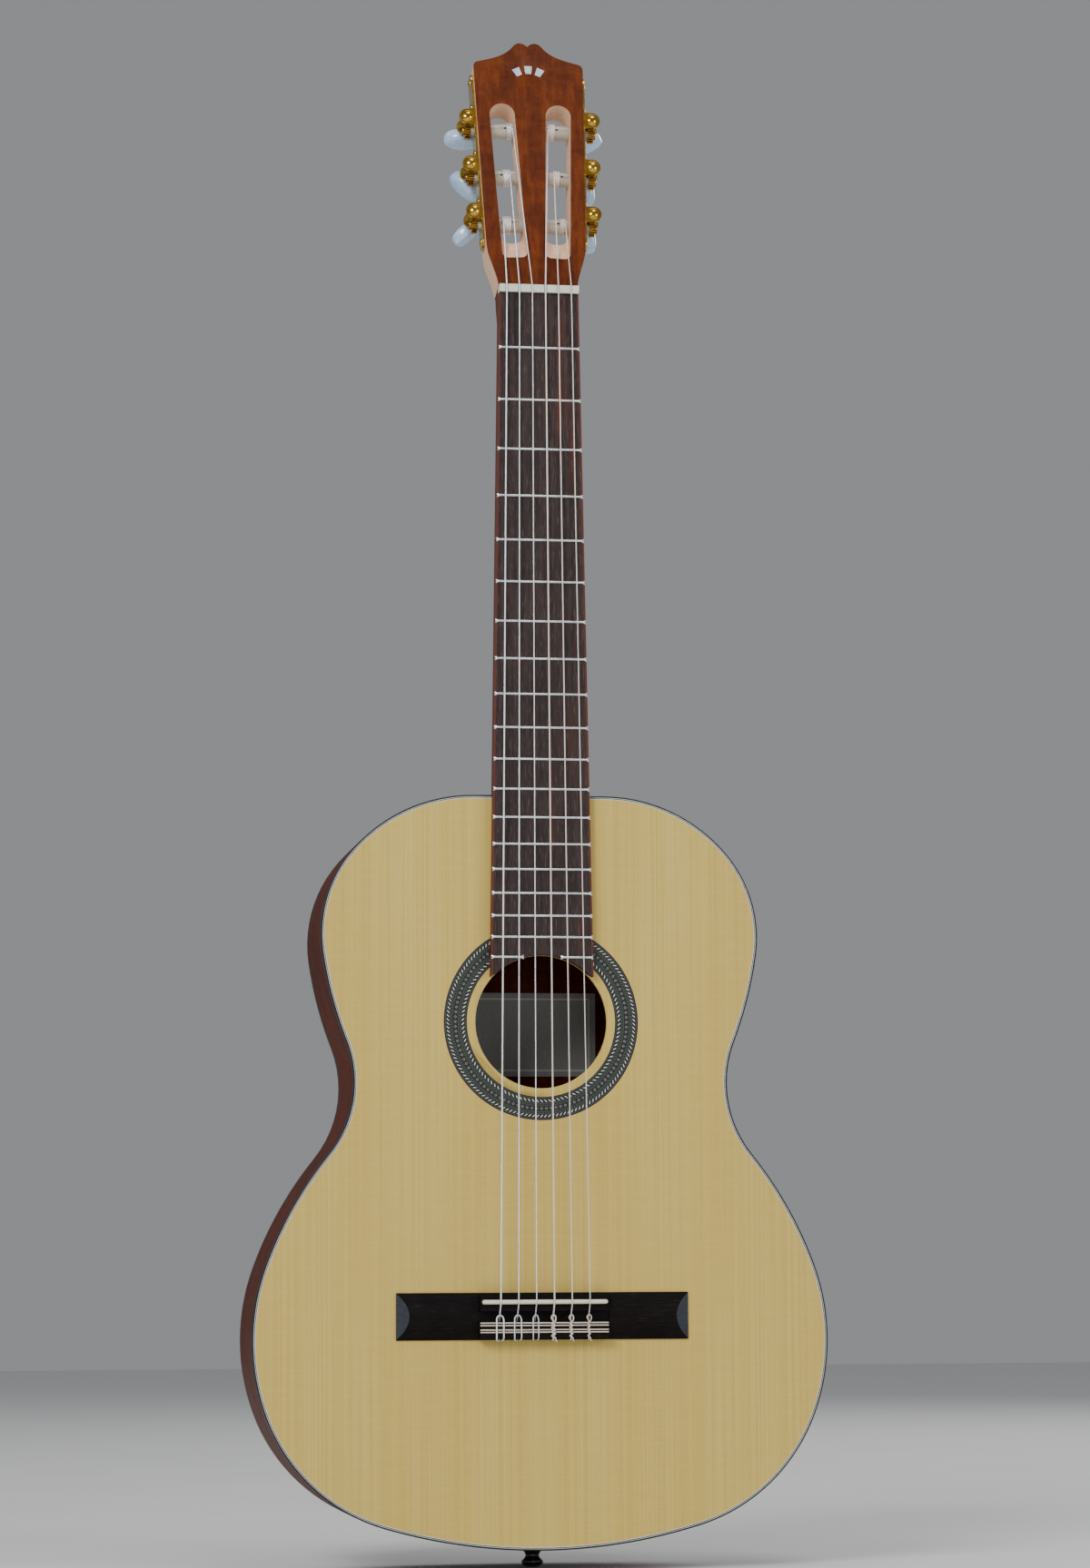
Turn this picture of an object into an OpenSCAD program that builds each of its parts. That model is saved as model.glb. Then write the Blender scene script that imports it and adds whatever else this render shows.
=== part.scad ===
// Classical guitar, upright: +Z runs from the tail to the head, the soundboard faces -Y.
// The origin is on the body's centreline at the tail, where the end pin meets the ribs.

/* [Body] */
// Height of the soundboard's outer face in front of the end pin's axis
front_depth = 50; // [48:1:52]
// Depth of the body at the tail
depth_tail = 100; // [96:1:104]
// Depth of the body at the neck
depth_neck = 92.5; // [89:0.5:95]
// Radius of the arch across the back
back_r = 4500; // [3500:100:6000]
// Thickness of the soundboard
top_t = 2.5; // [2.2:0.1:2.8]
// Thickness of the back
back_t = 2.8; // [2.4:0.1:3.2]
// Thickness of the ribs, and the width of the binding
rib_t = 2.2; // [2:0.1:2.4]
// Height of the binding at both edges of the ribs
binding_h = 5.5; // [4:0.5:7]
// Height of the soundhole's centre above the tail
hole_z = 333.3; // [332:0.1:335]
// Radius of the soundhole
hole_r = 42.4; // [41.5:0.1:42.6]
// Inner radius of the rosette
rosette_in = 47.9; // [46:0.1:49]
// Outer radius of the rosette
rosette_out = 62.7; // [60:0.1:64]

/* [Scale and neck] */
// Sounding length of the strings, which places the nut and the frets
scale_len = 650; // [648:0.5:652]
// Height of the saddle's centreline above the tail
saddle_z = 155.7; // [155:0.1:157]
// Number of frets
fret_count = 19; // [12:1:19]
// Width of the fretboard at the nut
nut_w = 52; // [51.5:0.5:52.5]
// How much the fretboard widens for each millimetre of its length
board_taper = 0.032; // [0.03:0.001:0.034]
// Thickness of the fretboard
board_t = 6.5; // [6:0.1:7]
// Depth of the neck under the fretboard at the nut
neck_d_nut = 15.5; // [15:0.5:17]
// Depth of the neck under the fretboard at the body
neck_d_body = 18; // [17:0.5:20]

/* [Head] */
// Angle by which the head leans back
head_tilt = 14; // [13:0.5:15]
// Thickness of the head
head_t = 20; // [19:0.5:21]
// Angle between each side of the head and its centreline
side_lean = 1.7; // [1.5:0.1:1.9]
// Half width of the head at the middle tuner
head_hw = 34.5; // [34:0.1:35]
// Distance from one tuner to the next
tuner_gap = 35; // [34.5:0.1:35.5]
// Width of each string slot
slot_w = 16.7; // [16.5:0.1:17]

/* [Tuners] */
// Radius of the string rollers
roller_r = 5; // [4.9:0.05:5]
// Running clearance of every turning fit
run_gap = 0.06; // [0.04:0.01:0.08]
// Teeth on each gear, which is also the gear ratio
teeth = 14; // [14:1:14]
// Distance of a worm's axis from the side of the head
worm_x = 5.8; // [5.7:0.1:5.9]

/* [Hidden] */
front_y = -front_depth;
arc_chord = 7;
last_sweep = 48.5;
// Half of the body outline from the tail to the neck: each arc's radius and the angle it turns
body_arcs = [[355, 16.5], [115, 53], [136, 40.5], [245, 19], [72, -60.5], [255, 13], [83, 50],
    [104, last_sweep]];
back_lean = atan((depth_tail - depth_neck) / 480);

function arc_n(a) = max(2, ceil(abs(a[1]) * a[0] * PI / 180 / arc_chord));
function arc_r(a, d) = (a[1] > 0 ? 1 : -1) * (a[1] > 0 ? a[0] - d : a[0] + d);
function arc_end(p, h, a, d) = p + arc_r(a, d) * [sin(h + a[1]) - sin(h), cos(h) - cos(h + a[1])];
function arc_chain(p, h, d, i = 0) = i == len(body_arcs) ? [] :
    let (a = body_arcs[i], r = arc_r(a, d), n = arc_n(a))
    concat([for (k = [1:n]) let (t = h + a[1] * k / n) p + r * [sin(t) - sin(h), cos(h) - cos(t)]],
        arc_chain(arc_end(p, h, a, d), h + a[1], d, i + 1));
// Right half of the outline, set in by d, from the tail up to the neck
function half_outline(d) = let (side = arc_chain([0, d], 0, d))
    concat([[0, d]], side, [[0, side[len(side) - 1][1]]]);
function flip(pts) = [for (i = [len(pts) - 1:-1:0]) [-pts[i][0], pts[i][1]]];
body_len = half_outline(0)[len(half_outline(0)) - 1][1];

lining_d = 8.2;
lining_h = 14;
neck_block_z = 436;
neck_block_hw = 40;
tail_block_h = 20;
tail_block_hw = 32;
block_d = 120;
pin_r = 7;
pin_shank_r = 4;

saddle_setback = 1.6;
nut_z = saddle_z + scale_len + saddle_setback;
nut_len = 5;
nut_hw = nut_w / 2;
board_y = front_y - board_t;
fret_r = 1.1;
tang_h = 1.5;
tang_t = 0.5;
function fret_z(n) = nut_z - scale_len * (1 - pow(2, -n / 12));
function board_hw(z) = nut_hw + board_taper / 2 * (nut_z - z);
board_end_r = hole_r + 1.3;
board_end_z = hole_z + 28.6;
// The heel's sections, from the neck to the back: depth behind the soundboard, half width, length
heel_cuts = [[8, 30, 62], [22, 25.5, 46], [42, 19, 31], [66, 14.5, 23], [depth_neck - 1, 12, 19]];

head_y = front_y - 3;
head_z = nut_z + nut_len;
mid_s = 84;
slot_low = 42.5;
slot_top = 126.6;
slot_lean = 2.55;
slot_u = 16.85;
ramp_s = 21;
ramp_len = 26;
ramp_corner = 4;
ramp_w = slot_w - 0.2;
ramp_slope = 25;
axis_w = 10;
inlay_s = 144.5;
inlay_t = 1;
inlay_fan = 26;
roller_in = -30.6;
hole_end = -31;
plate_t = 1.5;
plate_lo = -53;
plate_hi = 76.5;
worm_dz = 7;
gear_w = 3.6;
gear_x = worm_x - gear_w / 2;
gear_module = 0.7;
worm_pitch = PI * gear_module;
shaft_r = 1.5;
screw_zs = [-47.5, -17.5, 18, 52.5, 71];
lug_r = 5.5;
lug_t = 2;
lug_y = 6;
button_start = 14.5;
button_hw = 12;
button_hl = 9.5;
button_t = 10;
button_bore = 6;
collar_l = 2.5;

// Each string: its place at the nut, its radius, its tuner (1 to 3 from the nut), its side of the
// head, its distance from the centreline on the roller, and which way its turns lie
strings = [[-21.3, 0.56, 1, -1, 20.2, -1], [-13, 0.46, 2, -1, 14.5, 1], [-4.5, 0.38, 3, -1, 11.5, 1],
    [4.1, 0.52, 3, 1, 11.9, 1], [12.6, 0.42, 2, 1, 14.8, 1], [21.1, 0.36, 1, 1, 20.9, -1]];
string_gap = 11.4;
// Height of the strings' undersides above the soundboard at the nut and at the saddle
lift_nut = 8.2;
lift_saddle = 12.4;
wrap_gap = 0.06;
wraps = 4;
// Tilt of each button about its shaft, with the outer end up, strings 6 to 1
button_turn = [-35, 46, 3, 20, -80, -77];

bridge_lo = saddle_z - 23.8;
bridge_hi = saddle_z + 5.9;
bridge_hw = 93.5;
block_hw = 41;
tie_lo = bridge_lo + 0.6;
tie_hi = bridge_lo + 11.7;
tie_h = 8.8;
mound_lo = saddle_z - 5.6;
trough_h = 3.4;
tie_hole_h = 4.6;
tie_hole_r = 0.75;
saddle_t = 2.8;
saddle_hw = 40;
saddle_foot = 3.4;

tuners = [1:6];
body_nodes = ["soundboard", "back", "rib_bass", "rib_treble", "neck_block", "tail_block", "linings",
    "fan_braces", "harmonic_bars", "back_braces", "rosette", "top_binding", "back_binding", "label"];
neck_nodes = ["neck_shaft", "heel", "headstock", "fretboard", "frets", "nut", "head_inlays"];
bridge_nodes = ["bridge", "tie_block_inlays", "saddle", "bass_strings", "treble_strings", "end_pin"];
plate_nodes = ["tuner_plate_bass", "tuner_plate_treble", "plate_screws"];
tuner_parts = ["button", "worm", "gear", "roller", "winding"];
$fn = 48;

// ---------- shared shapes ----------

// The body's outline, set in by d, as a solid from y0 to y1
module slab(y0, y1, d) {
    translate([0, y1, 0]) rotate([90, 0, 0]) linear_extrude(y1 - y0)
        polygon(concat(half_outline(d), flip(half_outline(d))));
}

// Everything in front of the arched back's surface moved in by d
module inside_back(d) {
    translate([0, front_y + depth_tail, 0]) rotate([back_lean, 0, 0]) translate([0, -back_r, -50])
        cylinder(r = back_r - d, h = body_len + 100, $fn = 720);
}

// One rib, the half ring on side +1 or -1
module half_ring(y0, y1, side) {
    translate([0, y1, 0]) rotate([90, 0, 0]) linear_extrude(y1 - y0) mirror([side < 0 ? 1 : 0, 0])
        difference() {
            polygon(half_outline(0));
            polygon(half_outline(rib_t));
        }
}

// A cylinder along +Y
module rod_y(r, h, fn = 48) {
    rotate([-90, 0, 0]) cylinder(r = r, h = h, $fn = fn);
}

// A cylinder along +X
module rod_x(r, h, fn = 48) {
    rotate([0, 90, 0]) cylinder(r = r, h = h, $fn = fn);
}

// A bar standing on the soundboard's inner face, along Z and turned by angle about its lower end
module top_bar(x, z, angle, len, w, h) {
    translate([x, front_y + top_t, z]) rotate([0, angle, 0]) translate([-w / 2, 0, 0]) cube([w, h, len]);
}

// The head's own frame: x across, y back from its face, z along it from the nut
module on_head() {
    translate([0, head_y, head_z]) rotate([-head_tilt, 0, 0]) children();
}

// One side of the head: x outwards from the side, y back from the rollers, z along the side
module on_side(side) {
    on_head() mirror([side < 0 ? 1 : 0, 0, 0]) translate([head_hw, axis_w, mid_s])
        rotate([0, side_lean, 0]) children();
}

// The place of tuner i, which holds string 7 - i, from the lowest string's
module on_tuner(i) {
    on_side(strings[i - 1][3]) translate([0, 0, (strings[i - 1][2] - 2) * tuner_gap]) children();
}

// ---------- soundbox ----------

module soundboard() {
    color("#e3c88d") difference() {
        slab(front_y, front_y + top_t, rib_t);
        translate([0, front_y - 1, hole_z]) rod_y(hole_r, top_t + 2, 96);
        translate([0, front_y - 1, hole_z]) rosette_ring(1.8);
    }
}

module rosette_ring(h) {
    difference() {
        rod_y(rosette_out, h, 96);
        translate([0, -1, 0]) rod_y(rosette_in, h + 2, 96);
    }
}

module rosette() {
    color("#3b3c3e") translate([0, front_y, hole_z]) rosette_ring(0.8);
}

module back() {
    color("#7a3e22") difference() {
        intersection() {
            slab(front_y + 60, front_y + depth_tail + 5, rib_t);
            inside_back(0);
        }
        inside_back(back_t);
    }
}

module rib(side) {
    color("#8a4323") difference() {
        intersection() {
            half_ring(front_y + binding_h, front_y + depth_tail + 5, side);
            inside_back(binding_h);
        }
        translate([0, 0, -20]) cylinder(r = pin_shank_r, h = 40);
    }
}

module top_binding() {
    color("#151211") difference() {
        slab(front_y, front_y + binding_h, 0);
        slab(front_y - 1, front_y + binding_h + 1, rib_t);
    }
}

module back_binding() {
    color("#151211") difference() {
        intersection() {
            slab(front_y + 70, front_y + depth_tail + 5, 0);
            inside_back(0);
        }
        slab(front_y + 60, front_y + depth_tail + 6, rib_t);
        inside_back(binding_h);
    }
}

// The room that the two end blocks take up
module block_room() {
    translate([-neck_block_hw, front_y, neck_block_z]) cube([2 * neck_block_hw, block_d, 60]);
    translate([-tail_block_hw, front_y, -10]) cube([2 * tail_block_hw, block_d, 10 + tail_block_h]);
}

module linings() {
    color("#cfa877") difference() {
        union() {
            slab(front_y + top_t, front_y + top_t + lining_h, rib_t);
            difference() {
                intersection() {
                    slab(front_y + 60, front_y + depth_tail + 5, rib_t);
                    inside_back(back_t);
                }
                inside_back(back_t + lining_h);
            }
        }
        slab(front_y, front_y + depth_tail + 6, lining_d);
        block_room();
    }
}

module neck_block() {
    color("#a8653c") intersection() {
        slab(front_y + top_t, front_y + depth_tail + 5, rib_t);
        inside_back(back_t);
        translate([-neck_block_hw, front_y, neck_block_z]) cube([2 * neck_block_hw, block_d, 60]);
    }
}

module tail_block() {
    color("#a8653c") difference() {
        intersection() {
            slab(front_y + top_t, front_y + depth_tail + 5, rib_t);
            inside_back(back_t);
            translate([-tail_block_hw, front_y, -10])
                cube([2 * tail_block_hw, block_d, 10 + tail_block_h]);
        }
        translate([0, 0, -1]) cylinder(r = pin_shank_r, h = 40);
    }
}

module fan_braces() {
    fan_top = 246;
    color("#dcc08c") intersection() {
        union() {
            for (k = [-3:3]) top_bar(12 * k, fan_top, 180 - 7 * k, 186, 5, 4);
        }
        slab(front_y, front_y + 10, lining_d);
        translate([-200, front_y, 62]) cube([400, 20, fan_top - 62]);
    }
}

module harmonic_bars() {
    bar_zs = [262, 402];
    color("#dcc08c") intersection() {
        union() {
            for (z = bar_zs) translate([-200, front_y + top_t, z - 4]) cube([400, 14, 8]);
        }
        slab(front_y, front_y + 30, lining_d);
    }
}

module back_braces() {
    bar_zs = [120, 252, 398];
    bar_h = 13;
    color("#c79a63") difference() {
        intersection() {
            union() {
                for (z = bar_zs) translate([-200, 0, z - 4]) cube([400, 80, 8]);
            }
            slab(0, front_y + depth_tail + 5, lining_d);
            inside_back(back_t);
        }
        inside_back(back_t + bar_h);
    }
}

module label() {
    label_t = 0.3;
    color("#e9e2cf") difference() {
        intersection() {
            translate([-50, 0, 303]) cube([100, 80, 55]);
            inside_back(back_t);
        }
        inside_back(back_t + label_t);
    }
}

module end_pin() {
    color("#1c1918") {
        translate([0, 0, -2.5]) cylinder(r = pin_r, h = 2.5);
        translate([0, 0, -8]) cylinder(r = 4.6, h = 5.5);
        translate([0, 0, -12]) cylinder(r = pin_r, h = 4);
        translate([0, 0, -13]) cylinder(r1 = 5.5, r2 = pin_r, h = 1);
        cylinder(r = pin_shank_r, h = 18);
    }
}

// ---------- neck ----------

// The neck's D shaped section at height z: its half width and its depth
module neck_slice(z, hw, depth) {
    side_h = 2;
    translate([0, 0, z]) linear_extrude(0.01) polygon(concat([[hw, front_y]],
        [for (t = [0:12:180]) [hw * cos(t), front_y + side_h + (depth - side_h) * sin(t)]],
        [[-hw, front_y]]));
}

module shaft_blank() {
    hull() {
        neck_slice(body_len, board_hw(body_len), neck_d_body);
        neck_slice(nut_z, nut_hw, neck_d_nut);
    }
    translate([0, 0, nut_z - body_len]) hull() {
        neck_slice(body_len, nut_hw, neck_d_nut);
        neck_slice(body_len + nut_len, nut_hw, neck_d_nut);
    }
}

module neck_shaft() {
    color("#94502c") difference() {
        shaft_blank();
        on_head() translate([-50, -10, 0]) cube([100, 60, 30]);
    }
}

module heel_slice(cut) {
    translate([0, front_y + cut[0], body_len]) rotate([-90, 0, 0]) linear_extrude(0.01)
        polygon([for (t = [0:12:180]) [cut[1] * cos(t), -cut[2] * sin(t)]]);
}

module heel() {
    color("#94502c") difference() {
        union() {
            for (k = [0:len(heel_cuts) - 2]) hull() {
                heel_slice(heel_cuts[k]);
                heel_slice(heel_cuts[k + 1]);
            }
        }
        shaft_blank();
    }
}

module fretboard() {
    color("#3a2520") difference() {
        translate([0, front_y, 0]) rotate([90, 0, 0]) linear_extrude(board_t)
            polygon([[-board_hw(board_end_z), board_end_z], [board_hw(board_end_z), board_end_z],
                [nut_hw, nut_z], [-nut_hw, nut_z]]);
        translate([0, front_y - 20, hole_z]) rod_y(board_end_r, 30, 96);
        for (n = [1:fret_count]) fret_tang(n);
    }
}

module fret_tang(n) {
    hw = board_hw(fret_z(n));
    translate([-hw, board_y - 0.01, fret_z(n) - tang_t / 2]) cube([2 * hw, tang_h, tang_t]);
}

module frets() {
    color("#c9ccd0") difference() {
        for (n = [1:fret_count]) intersection() {
            union() {
                translate([-60, board_y, fret_z(n)]) rod_x(fret_r, 120, 32);
                translate([-60, board_y, fret_z(n) - tang_t / 2]) cube([120, tang_h - 0.01, tang_t]);
            }
            union() {
                translate([-board_hw(fret_z(n)), board_y - 2, fret_z(n) - 2])
                    cube([2 * board_hw(fret_z(n)), 2, 4]);
                fret_tang(n);
            }
        }
        translate([0, front_y - 20, hole_z]) rod_y(board_end_r, 30, 96);
    }
}

// ---------- strings ----------

function nut_point(s) = [s[0], front_y - lift_nut - s[1], nut_z + 1];
function saddle_x(n) = (n - 2.5) * string_gap;
// A roller's axis in the head's frame, then the roller's contact with its string
function roller_s(s) = mid_s + (s[2] - 2) * tuner_gap * cos(side_lean);
function to_head(p) = let (y = p[1] - head_y, z = p[2] - head_z)
    [p[0], y * cos(head_tilt) - z * sin(head_tilt), y * sin(head_tilt) + z * cos(head_tilt)];
function from_head(p) = [p[0], head_y + p[1] * cos(head_tilt) + p[2] * sin(head_tilt),
    head_z - p[1] * sin(head_tilt) + p[2] * cos(head_tilt)];
crest_z = nut_len - 1;
function crest_point(s) = nut_point(s) + [0, 0.15, crest_z - 1];
function roller_point(s) =
    let (c = to_head(crest_point(s)), dz = roller_s(s) - c[2], dy = axis_w - c[1],
        d = sqrt(dz * dz + dy * dy), r = roller_r + s[1] + 0.1,
        aim = atan2(dy, dz) - asin(r / d), run = sqrt(d * d - r * r))
    from_head([s[3] * s[4], c[1] + run * sin(aim), c[2] + run * cos(aim)]);

// Where string n (0 to 5) runs, from its roller over the nut and the saddle to its tie
function string_path(n) = let (s = strings[n], r = s[1], x = saddle_x(n), top = front_y - lift_saddle - r,
        hole_y = front_y - tie_hole_h, over = front_y - tie_h - r - 0.3, loop = 1.1 + r)
    concat([roller_point(s), crest_point(s), nut_point(s)],
        [[x, top - 0.02, saddle_z + 0.7], [x, top - 0.04, saddle_z - 0.2], [x, top + 0.3, saddle_z - 1.1],
        [x, hole_y, tie_hi + 1], [x, hole_y, tie_lo - 0.8],
        [x - 0.5, hole_y - 1.2, tie_lo - 1.2], [x - loop, over + 0.8, tie_lo - 0.8],
        [x - loop, over, tie_lo + 0.6], [x - loop, over, tie_hi - 0.2], [x - loop, over + 0.7, tie_hi + 1],
        [x - loop * 0.7, over + 2.2, tie_hi + 2.6]]);

function unit(v) = v / norm(v);
function bend(p, i) = i == 0 ? unit(p[1] - p[0]) : i == len(p) - 1 ? unit(p[i] - p[i - 1])
    : unit(unit(p[i + 1] - p[i]) + unit(p[i] - p[i - 1]));
function ring(c, dir, r, sides) = let (a = unit(cross(dir, [1, 0.02, 0])), b = cross(a, dir))
    [for (k = [0:sides - 1]) let (t = 360 * k / sides) c + r * (cos(t) * a + sin(t) * b)];

// A round tube of radius r along the points p
module tube(p, r, sides = 8) {
    last = len(p) - 1;
    rings = [for (i = [0:last]) each ring(p[i], bend(p, i), r, sides)];
    walls = [for (i = [0:last - 1], k = [0:sides - 1]) let (a = i * sides, m = (k + 1) % sides)
        each [[a + k, a + m, a + sides + m], [a + k, a + sides + m, a + sides + k]]];
    caps = [[for (k = [sides - 1:-1:0]) k], [for (k = [0:sides - 1]) last * sides + k]];
    polyhedron(rings, concat(walls, caps));
}

module string(n) {
    tube(string_path(n), strings[n][1]);
}

module bass_strings() {
    color("#d9dbde") for (n = [0:2]) string(n);
}

module treble_strings() {
    color("#e9d6cd") for (n = [3:5]) string(n);
}

// The cut for one string: a flat floor that falls away towards the head
module nut_slot(s) {
    floor_y = front_y - lift_nut + 0.06;
    slot_hw = s[1] + 0.1;
    translate([s[0] - slot_hw, 0, 0]) rotate([90, 0, 90]) linear_extrude(2 * slot_hw)
        polygon([[floor_y, nut_z - 1], [floor_y, nut_z + 1], [floor_y + 0.17, nut_z + crest_z],
            [floor_y + 0.8, nut_z + nut_len + 0.1], [floor_y - 5, nut_z + nut_len + 0.1],
            [floor_y - 5, nut_z - 1]]);
}

module nut() {
    color("#dfe3d8") difference() {
        translate([-nut_hw, front_y - lift_nut - 1, nut_z]) cube([nut_w, lift_nut + 1, nut_len]);
        on_head() translate([-40, 0, 0]) cube([80, 30, 30]);
        for (s = strings) nut_slot(s);
    }
}

// ---------- head ----------

function bez(a, b, c, d, n) = [for (k = [1:n]) let (t = k / n, m = 1 - t)
    m * m * m * a + 3 * m * m * t * b + 3 * m * t * t * c + t * t * t * d];
function side_x(z) = head_hw + (z - mid_s) * tan(side_lean);
// Right half of the head's face, from the nut to the notch in the crest
head_half = concat([[nut_hw, 0]], bez([nut_hw, 0], [26.5, 7], [30, 15], [32.1, 24], 6),
    bez([32.1, 24], [32.8, 28], [33.1, 34], [side_x(44), 44], 4), [[side_x(158), 158]],
    bez([side_x(158), 158], [37, 163.5], [36.6, 165.6], [34, 166.3], 4),
    bez([34, 166.3], [24, 169], [15, 171], [9.6, 178.6], 12),
    bez([9.6, 178.6], [7, 182], [3.4, 182.2], [0, 178.6], 10));

module head_slot() {
    translate([slot_u, -5, mid_s]) rotate([0, slot_lean, 0]) {
        translate([0, 0, slot_low - mid_s]) rod_y(slot_w / 2, head_t + 10);
        translate([0, 0, slot_top - mid_s]) rod_y(slot_w / 2, head_t + 10);
        translate([-slot_w / 2, 0, slot_low - mid_s]) cube([slot_w, head_t + 10, slot_top - slot_low]);
    }
    translate([slot_u - (mid_s - ramp_s) * tan(slot_lean), 0, ramp_s]) rotate([0, slot_lean, 0])
        intersection() {
            translate([0, 20, 0]) rotate([90, 0, 0]) linear_extrude(25) offset(r = ramp_corner, $fn = 48)
                translate([ramp_corner - ramp_w / 2, ramp_corner])
                    square([ramp_w - 2 * ramp_corner, ramp_len - 2 * ramp_corner]);
            rotate([-ramp_slope, 0, 0]) translate([-slot_w, -30, -5]) cube([2 * slot_w, 30, 40]);
        }
}

module headstock() {
    color("#94502c") difference() {
        on_head() translate([0, head_t, 0]) rotate([90, 0, 0]) linear_extrude(head_t)
            polygon(concat(head_half, flip(head_half)));
        translate([-50, front_y - 20, head_z - 20]) cube([100, 20, 20]);
        on_head() for (side = [0, 1]) mirror([side, 0, 0]) head_slot();
        for (i = tuners) on_tuner(i) translate([hole_end, 0, 0]) rod_x(roller_r + run_gap, 40);
        for (side = [-1, 1], z = screw_zs) on_side(side) translate([-7, 0, z]) rod_x(1, 10, 24);
        on_head() for (k = [-1:1]) head_inlay(k, 2);
    }
}

// One of three fan shaped inlays, cut h deep into the head's face
module head_inlay(k, h) {
    translate([0, inlay_t, inlay_s]) rotate([0, inlay_fan * k, 0]) rotate([90, 0, 0])
        linear_extrude(h) polygon([[-1.9, 13.6], [1.9, 13.6], [2.7, 19.4], [-2.7, 19.4]]);
}

module head_inlays() {
    color("#cfe0ea") on_head() intersection() {
        union() {
            for (k = [-1:1]) head_inlay(k, 2);
        }
        translate([-40, 0, inlay_s]) cube([80, 5, 40]);
    }
}

// ---------- bridge ----------

module bridge() {
    wing_h = 4.4;
    wing_end_h = 1.2;
    facet_slope = 22;
    arch_r = 34;
    mid = (bridge_lo + bridge_hi) / 2;
    color("#3b2620") difference() {
        union() {
            intersection() {
                translate([-bridge_hw, front_y - wing_h, bridge_lo])
                    cube([2 * bridge_hw, wing_h, bridge_hi - bridge_lo]);
                translate([-bridge_hw, front_y - wing_h + arch_r, mid]) rod_x(arch_r, 2 * bridge_hw, 96);
            }
            translate([-block_hw, front_y - trough_h, bridge_lo])
                cube([2 * block_hw, trough_h, bridge_hi - bridge_lo]);
            translate([-block_hw, front_y - tie_h, tie_lo]) cube([2 * block_hw, tie_h, tie_hi - tie_lo]);
            translate([-block_hw, front_y - tie_h, mound_lo])
                cube([2 * block_hw, tie_h, bridge_hi - mound_lo]);
        }
        saddle_shape(20);
        translate([-block_hw - 1, front_y - trough_h - 6, tie_hi])
            cube([2 * block_hw + 2, 6, mound_lo - tie_hi]);
        for (n = [0:5]) translate([saddle_x(n), front_y - tie_hole_h, bridge_lo - 1])
            cylinder(r = tie_hole_r, h = 14, $fn = 24);
        tie_strips();
        for (side = [-1, 1]) translate([side * bridge_hw, front_y - wing_end_h, mid])
            rotate([0, 0, side * facet_slope]) translate([-20, -10, -30]) cube([40, 10, 60]);
    }
}

// The inlaid lines along the edges of the tie block
module tie_strips() {
    for (z = [tie_hi - 1.4, tie_hi - 3, tie_hi - 5.7, tie_hi - 7.2])
        translate([-block_hw, front_y - tie_h, z]) cube([2 * block_hw, 0.6, 0.7]);
}

module tie_block_inlays() {
    color("#e8dcc0") tie_strips();
}

// The saddle's upright shape up to height h above the soundboard
module saddle_shape(h) {
    translate([0, front_y - h, saddle_z]) {
        translate([-saddle_hw + saddle_t / 2, 0, -saddle_t / 2])
            cube([2 * saddle_hw - saddle_t, h - saddle_foot, saddle_t]);
        for (side = [-1, 1]) translate([side * (saddle_hw - saddle_t / 2), 0, 0])
            rod_y(saddle_t / 2, h - saddle_foot);
    }
}

module saddle() {
    round_r = saddle_t / 2;
    color("#f0e6cc") intersection() {
        saddle_shape(lift_saddle);
        union() {
            translate([-50, front_y - lift_saddle + round_r, saddle_z]) rod_x(round_r, 100);
            translate([-50, front_y - lift_saddle + round_r, saddle_z - 5]) cube([100, 20, 10]);
        }
    }
}

// ---------- tuners ----------

module tuner_plate(side) {
    plate_hw = 7;
    color("#c9a03a") on_side(side) difference() {
        union() {
            translate([0, 0, plate_lo + plate_hw]) rod_x(plate_hw, plate_t);
            translate([0, 0, plate_hi - plate_hw]) rod_x(plate_hw, plate_t);
            translate([0, -plate_hw, plate_lo + plate_hw])
                cube([plate_t, 2 * plate_hw, plate_hi - plate_lo - 2 * plate_hw]);
            for (k = [-1:1], y = [-lug_y, lug_y + lug_t]) translate([0, y, k * tuner_gap + worm_dz])
                rotate([90, 0, 0]) linear_extrude(lug_t) {
                    translate([worm_x, 0]) circle(r = lug_r);
                    translate([0, -lug_r]) square([worm_x, 2 * lug_r]);
                }
        }
        for (k = [-1:1]) {
            translate([-1, 0, k * tuner_gap]) rod_x(3 + run_gap, plate_t + 2);
            translate([worm_x, -20, k * tuner_gap + worm_dz]) rod_y(shaft_r + run_gap, 40);
        }
        for (z = screw_zs) translate([-1, 0, z]) rod_x(1, plate_t + 2, 24);
    }
}

// A wood screw with a domed head of height dome_h on the plate
module plate_screws() {
    dome_r = 2.4;
    dome_h = 1.3;
    ball_r = (dome_r * dome_r + dome_h * dome_h) / (2 * dome_h);
    arc = asin(dome_r / ball_r);
    color("#d2ab48") for (side = [-1, 1], z = screw_zs) on_side(side) translate([plate_t, 0, z])
        rotate([0, 90, 0]) rotate_extrude($fn = 24) polygon(concat([[0, -8], [1, -8], [1, 0]],
            [for (k = [0:4]) let (a = arc * (1 - k / 4))
                [ball_r * sin(a), ball_r * cos(a) - ball_r + dome_h]]));
}

module roller(i) {
    s = strings[i - 1];
    color("#efe6d2") on_tuner(i) difference() {
        union() {
            translate([roller_in, 0, 0]) rod_x(roller_r, -roller_in - 0.3);
            translate([-0.4, 0, 0]) rod_x(3, gear_x + 0.4);
            translate([gear_x - 0.1, 0, 0]) rod_x(1.8, gear_w + 0.1);
        }
        translate([gear_x + gear_w - 3, 0, 0]) rod_x(1, 5, 24);
        translate([string_hole_x(s), -10, 0]) rod_y(0.8, 20, 24);
    }
}

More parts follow.
